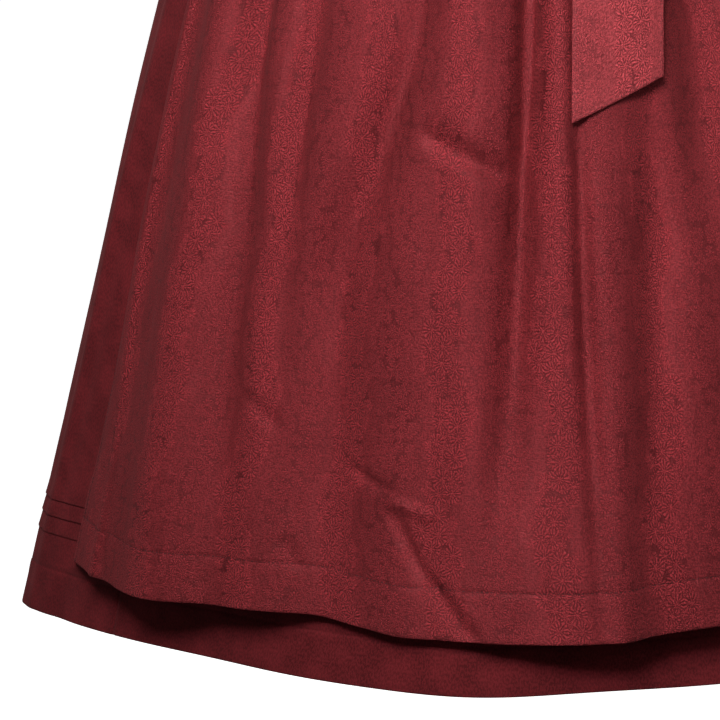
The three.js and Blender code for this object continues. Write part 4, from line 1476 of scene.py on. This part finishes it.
def strap_edges(share):
    lines = []
    for edge, angles in zip(("neck", "arm"), zip(STRAP_FRONT, STRAP_BACK)):
        ends = []
        for angle in angles:
            rise = top_edge(angle)
            end = bodice_point(angle, rise, 0.0)
            end[2] = rise + SEAM_GAP
            ends.append(end)
        sections = np.stack([STRAP_SECTIONS[f"{edge}_{axis}"] for axis in "xyz"], axis=1)
        lines.append(smooth_line([ends[0], *sections, ends[1]], share))
    return lines


def strap_face(side, u, v, raised):
    """u runs from the neck edge to the arm edge and v over the shoulder; both are flat lists."""
    neck, arm = strap_edges(v)
    ahead, behind = strap_edges(np.clip(v + 1e-4, 0, 1)), strap_edges(np.clip(v - 1e-4, 0, 1))
    steps = [p - q for p, q in zip(ahead, behind)]
    tangent = sum(step / np.linalg.norm(step, axis=1, keepdims=True) for step in steps)
    across = arm - neck
    outward = np.cross(across, tangent)
    outward[(v <= 0) | (v >= 1), 2] = 0
    outward /= np.linalg.norm(outward, axis=1, keepdims=True)
    crown = 1.2 * np.sin(math.pi * u) * np.sin(math.pi * v)
    points = neck + across * u[:, None] + outward * (crown + raised)[:, None]
    return points * np.array([side, 1, 1])


# %% [markdown]
# The strap ends on the bodice's top edge with a seam, and is sewn along both of its long edges.

# %% Both straps
STRAP_WIDTH, STRAP_LENGTH = 42, 330


def make_strap(name, side):
    over = np.concatenate([[0, 0.004, 0.01], np.linspace(0.02, 0.98, 90), [0.99, 0.996, 1]])
    u, v = np.meshgrid(ACROSS, over)
    u, v, shape = u.ravel(), v.ravel(), u.shape
    to_edge = np.minimum(u, 1 - u) * STRAP_WIDTH
    to_seam = np.minimum(v, 1 - v) * STRAP_LENGTH
    relief = 0.3 * ripple(u * 0.9, v * 5, 101 + side) + soft_edge(to_edge, 1.4, 0.5) + seam_dip(to_seam)
    outer = strap_face(side, u, v, relief).reshape(*shape, 3)
    inner = strap_face(side, u, v, np.full(u.shape, -WALL + 0.1)).reshape(*shape, 3)
    inner[[0, -1], :, 2] -= 2 * SEAM_GAP
    shell(name, outer, inner, thread_map(outer, 40)[..., ::-1], bodice_cloth)
    rows = []
    for share in (0.07, 0.93):
        line_v = np.linspace(0.012, 0.988, 360)
        line_u = np.full(360, share)
        points = strap_face(side, line_u, line_v, np.full(360, 0.05))
        outward = points - strap_face(side, line_u, line_v, np.full(360, -0.95))
        rows.append((points, outward))
    return rows


strap_rows = make_strap("strap_left_cloth", 1) + make_strap("strap_right_cloth", -1)
stitches("strap_stitches", strap_rows, skirt_thread, *FINE_SEWING)

# %% [markdown]
# ## The front closing
# The bodice closes down its front under a sewn placket. Six pewter buttons are fastened through it.
# A worked buttonhole looks out beside each button, because the button pulls to one end of its slit.

# %% Placket
PLACKET_HALF = 10.0
BUTTON_RADIUS = 7.0
BUTTON_RISES = np.linspace(34, 186, 6)
PLACKET_LENGTH = 204
placket_degree = float(per_degree(bodice_point, 0.0, BUTTON_RISES[0]))


def placket_face(angle, v, raised):
    rise = np.maximum(v * top_edge(angle), BAND_TOP + SEAM_GAP)
    return bodice_point(angle, rise, LYING + raised)


half_angle = PLACKET_HALF / placket_degree
angle, v = np.meshgrid(
    edge_steps(-half_angle, half_angle, 26),
    np.concatenate([[1, 0.998, 0.994, 0.988], np.linspace(0.98, 0.06, 110)]),
)
rise = v * top_edge(angle)
to_edge = np.minimum((half_angle - np.abs(angle)) * placket_degree, (1 - v) * PLACKET_LENGTH)
pull = sum(np.exp(-(((rise - b) / 9) ** 2)) for b in BUTTON_RISES) * np.exp(-((angle / 1.8) ** 2))
relief = 0.25 * ripple(angle / 5, rise / 26, 111) - 0.25 * pull + soft_edge(to_edge, 1.3, 0.6)
placket_outer = placket_face(angle, v, 1.45 + relief)
placket_inner = placket_face(angle, v, 0.25 * np.ones_like(v))
threads = thread_map(placket_outer, 40)
shell("button_placket_cloth", placket_outer, placket_inner, threads, bodice_cloth)


def on_placket(a, b):
    return placket_face(a, b, 1.36)


rows = []
for share in (-0.8, 0.8):
    down = np.linspace(0.09, 0.98, 300)
    rows.append(line_on(on_placket, np.full(300, share * half_angle), down, SHARE_STEP))
holes = []
for rise in BUTTON_RISES:
    for lift in (-0.9, 0.9):
        a = np.linspace(0.2, 0.8, 60) * half_angle
        holes.append(line_on(on_placket, a, (rise + lift) / top_edge(a), SHARE_STEP))
stitches("placket_stitches", rows, skirt_thread, *FINE_SEWING)
stitches("buttonhole_stitches", holes, skirt_thread, 0.55, 0.5, 1.2, 0.22)


# %% [markdown]
# A button is turned from a profile: a table of rings from the shank up to the middle of the dome.

# %% Buttons
def make_button(number, rise):
    """A domed button with a corded rim and six shallow petals, on a short shank."""
    turn = np.linspace(0, 2 * math.pi, 49)[:-1]
    profile = table(
        "radius height petal cord",
        (2.0, -1.1, 0, 0),
        (2.0, 0.0, 0, 0),
        (6.2, 0.0, 0, 0),
        (6.8, 0.25, 0, 0),
        (7.0, 0.7, 0, 1),
        (6.9, 1.2, 0, 1),
        (6.5, 1.5, 0, 1),
        (6.1, 1.35, 0, 0.4),
        (5.8, 1.45, 0, 0),
        (5.2, 1.9, 0.4, 0),
        (4.4, 2.35, 1, 0),
        (3.5, 2.75, 1, 0),
        (2.6, 3.05, 0.7, 0),
        (1.9, 3.15, 0.2, 0),
        (1.6, 3.1, 0, 0),
        (1.3, 3.3, 0, 0),
        (0.7, 3.4, 0, 0),
    )
    radius, height, petal, cord = (column[:, None] for column in profile.values())
    petals = 0.3 * petal * (1 - np.abs(np.cos(3 * turn)) ** 0.6)
    cords = 0.1 * cord * (1 + np.cos(24 * turn))
    height = height - petals - cords
    out = LYING + WALL + 0.5
    above = bodice_point(0.0, rise + BUTTON_RADIUS, out)
    below = bodice_point(0.0, rise - BUTTON_RADIUS, out)
    upwards = (above - below) / np.linalg.norm(above - below)
    outward = np.array([0, -upwards[2], upwards[1]])
    middle = (above + below) / 2
    flat = np.stack([radius * np.cos(turn), radius * np.sin(turn), height], axis=-1)
    points = middle + flat @ np.stack([(1, 0, 0), upwards, outward])
    rows, columns = points.shape[:2]
    faces = ring_faces(rows, columns)
    faces.append(tuple(range(columns))[::-1])
    faces.append(tuple(range((rows - 1) * columns, rows * columns)))
    mesh_from(f"button_{number}_metal", points.reshape(-1, 3), faces, pewter_look)


for number, rise in enumerate(BUTTON_RISES, 1):
    make_button(number, rise)
print("buttons made:", len(BUTTON_RISES))

# %% [markdown]
# ## Back to the frame
# Every piece now stands for its node of the frame. The size of each sheet's flat cut, and the stitches that
# hold it, are also worked out.

# %% What holds each piece
SEWN_ON = {
    "apron_panel": ["apron_stitches"],
    "apron_waistband": ["waistband_stitches"],
    "bow_tail_long": ["bow_tail_long_stitches"],
    "bow_tail_short": ["bow_tail_short_stitches"],
    "bodice_back": ["bodice_stitches"],
    "strap_left": ["strap_stitches"],
    "button_placket": ["placket_stitches", "buttonhole_stitches"],
}


# %% [markdown]
# The stitches go with the cloth that they are sewn into. A gathered sheet is a plain rectangle.


for name, piece in made_pieces.items():
    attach(piece, "root")
    node = name.rsplit("_", 1)[0]
    if name.endswith("_metal"):
        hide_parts(node)
        continue
    if not name.endswith("_cloth"):
        continue
    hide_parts(node)
    if node == "bow_knot":
        continue
    width, length = flat_size(grids[name])
    if node.startswith(("tie", "bow_loop")):
        width, length = length, width
    if node.startswith("bow_tail"):
        width = float(lengths_along(grids[name], 1)[50, -1]) * MM
    sewn = [made_pieces[other] for other in SEWN_ON.get(node, [])]
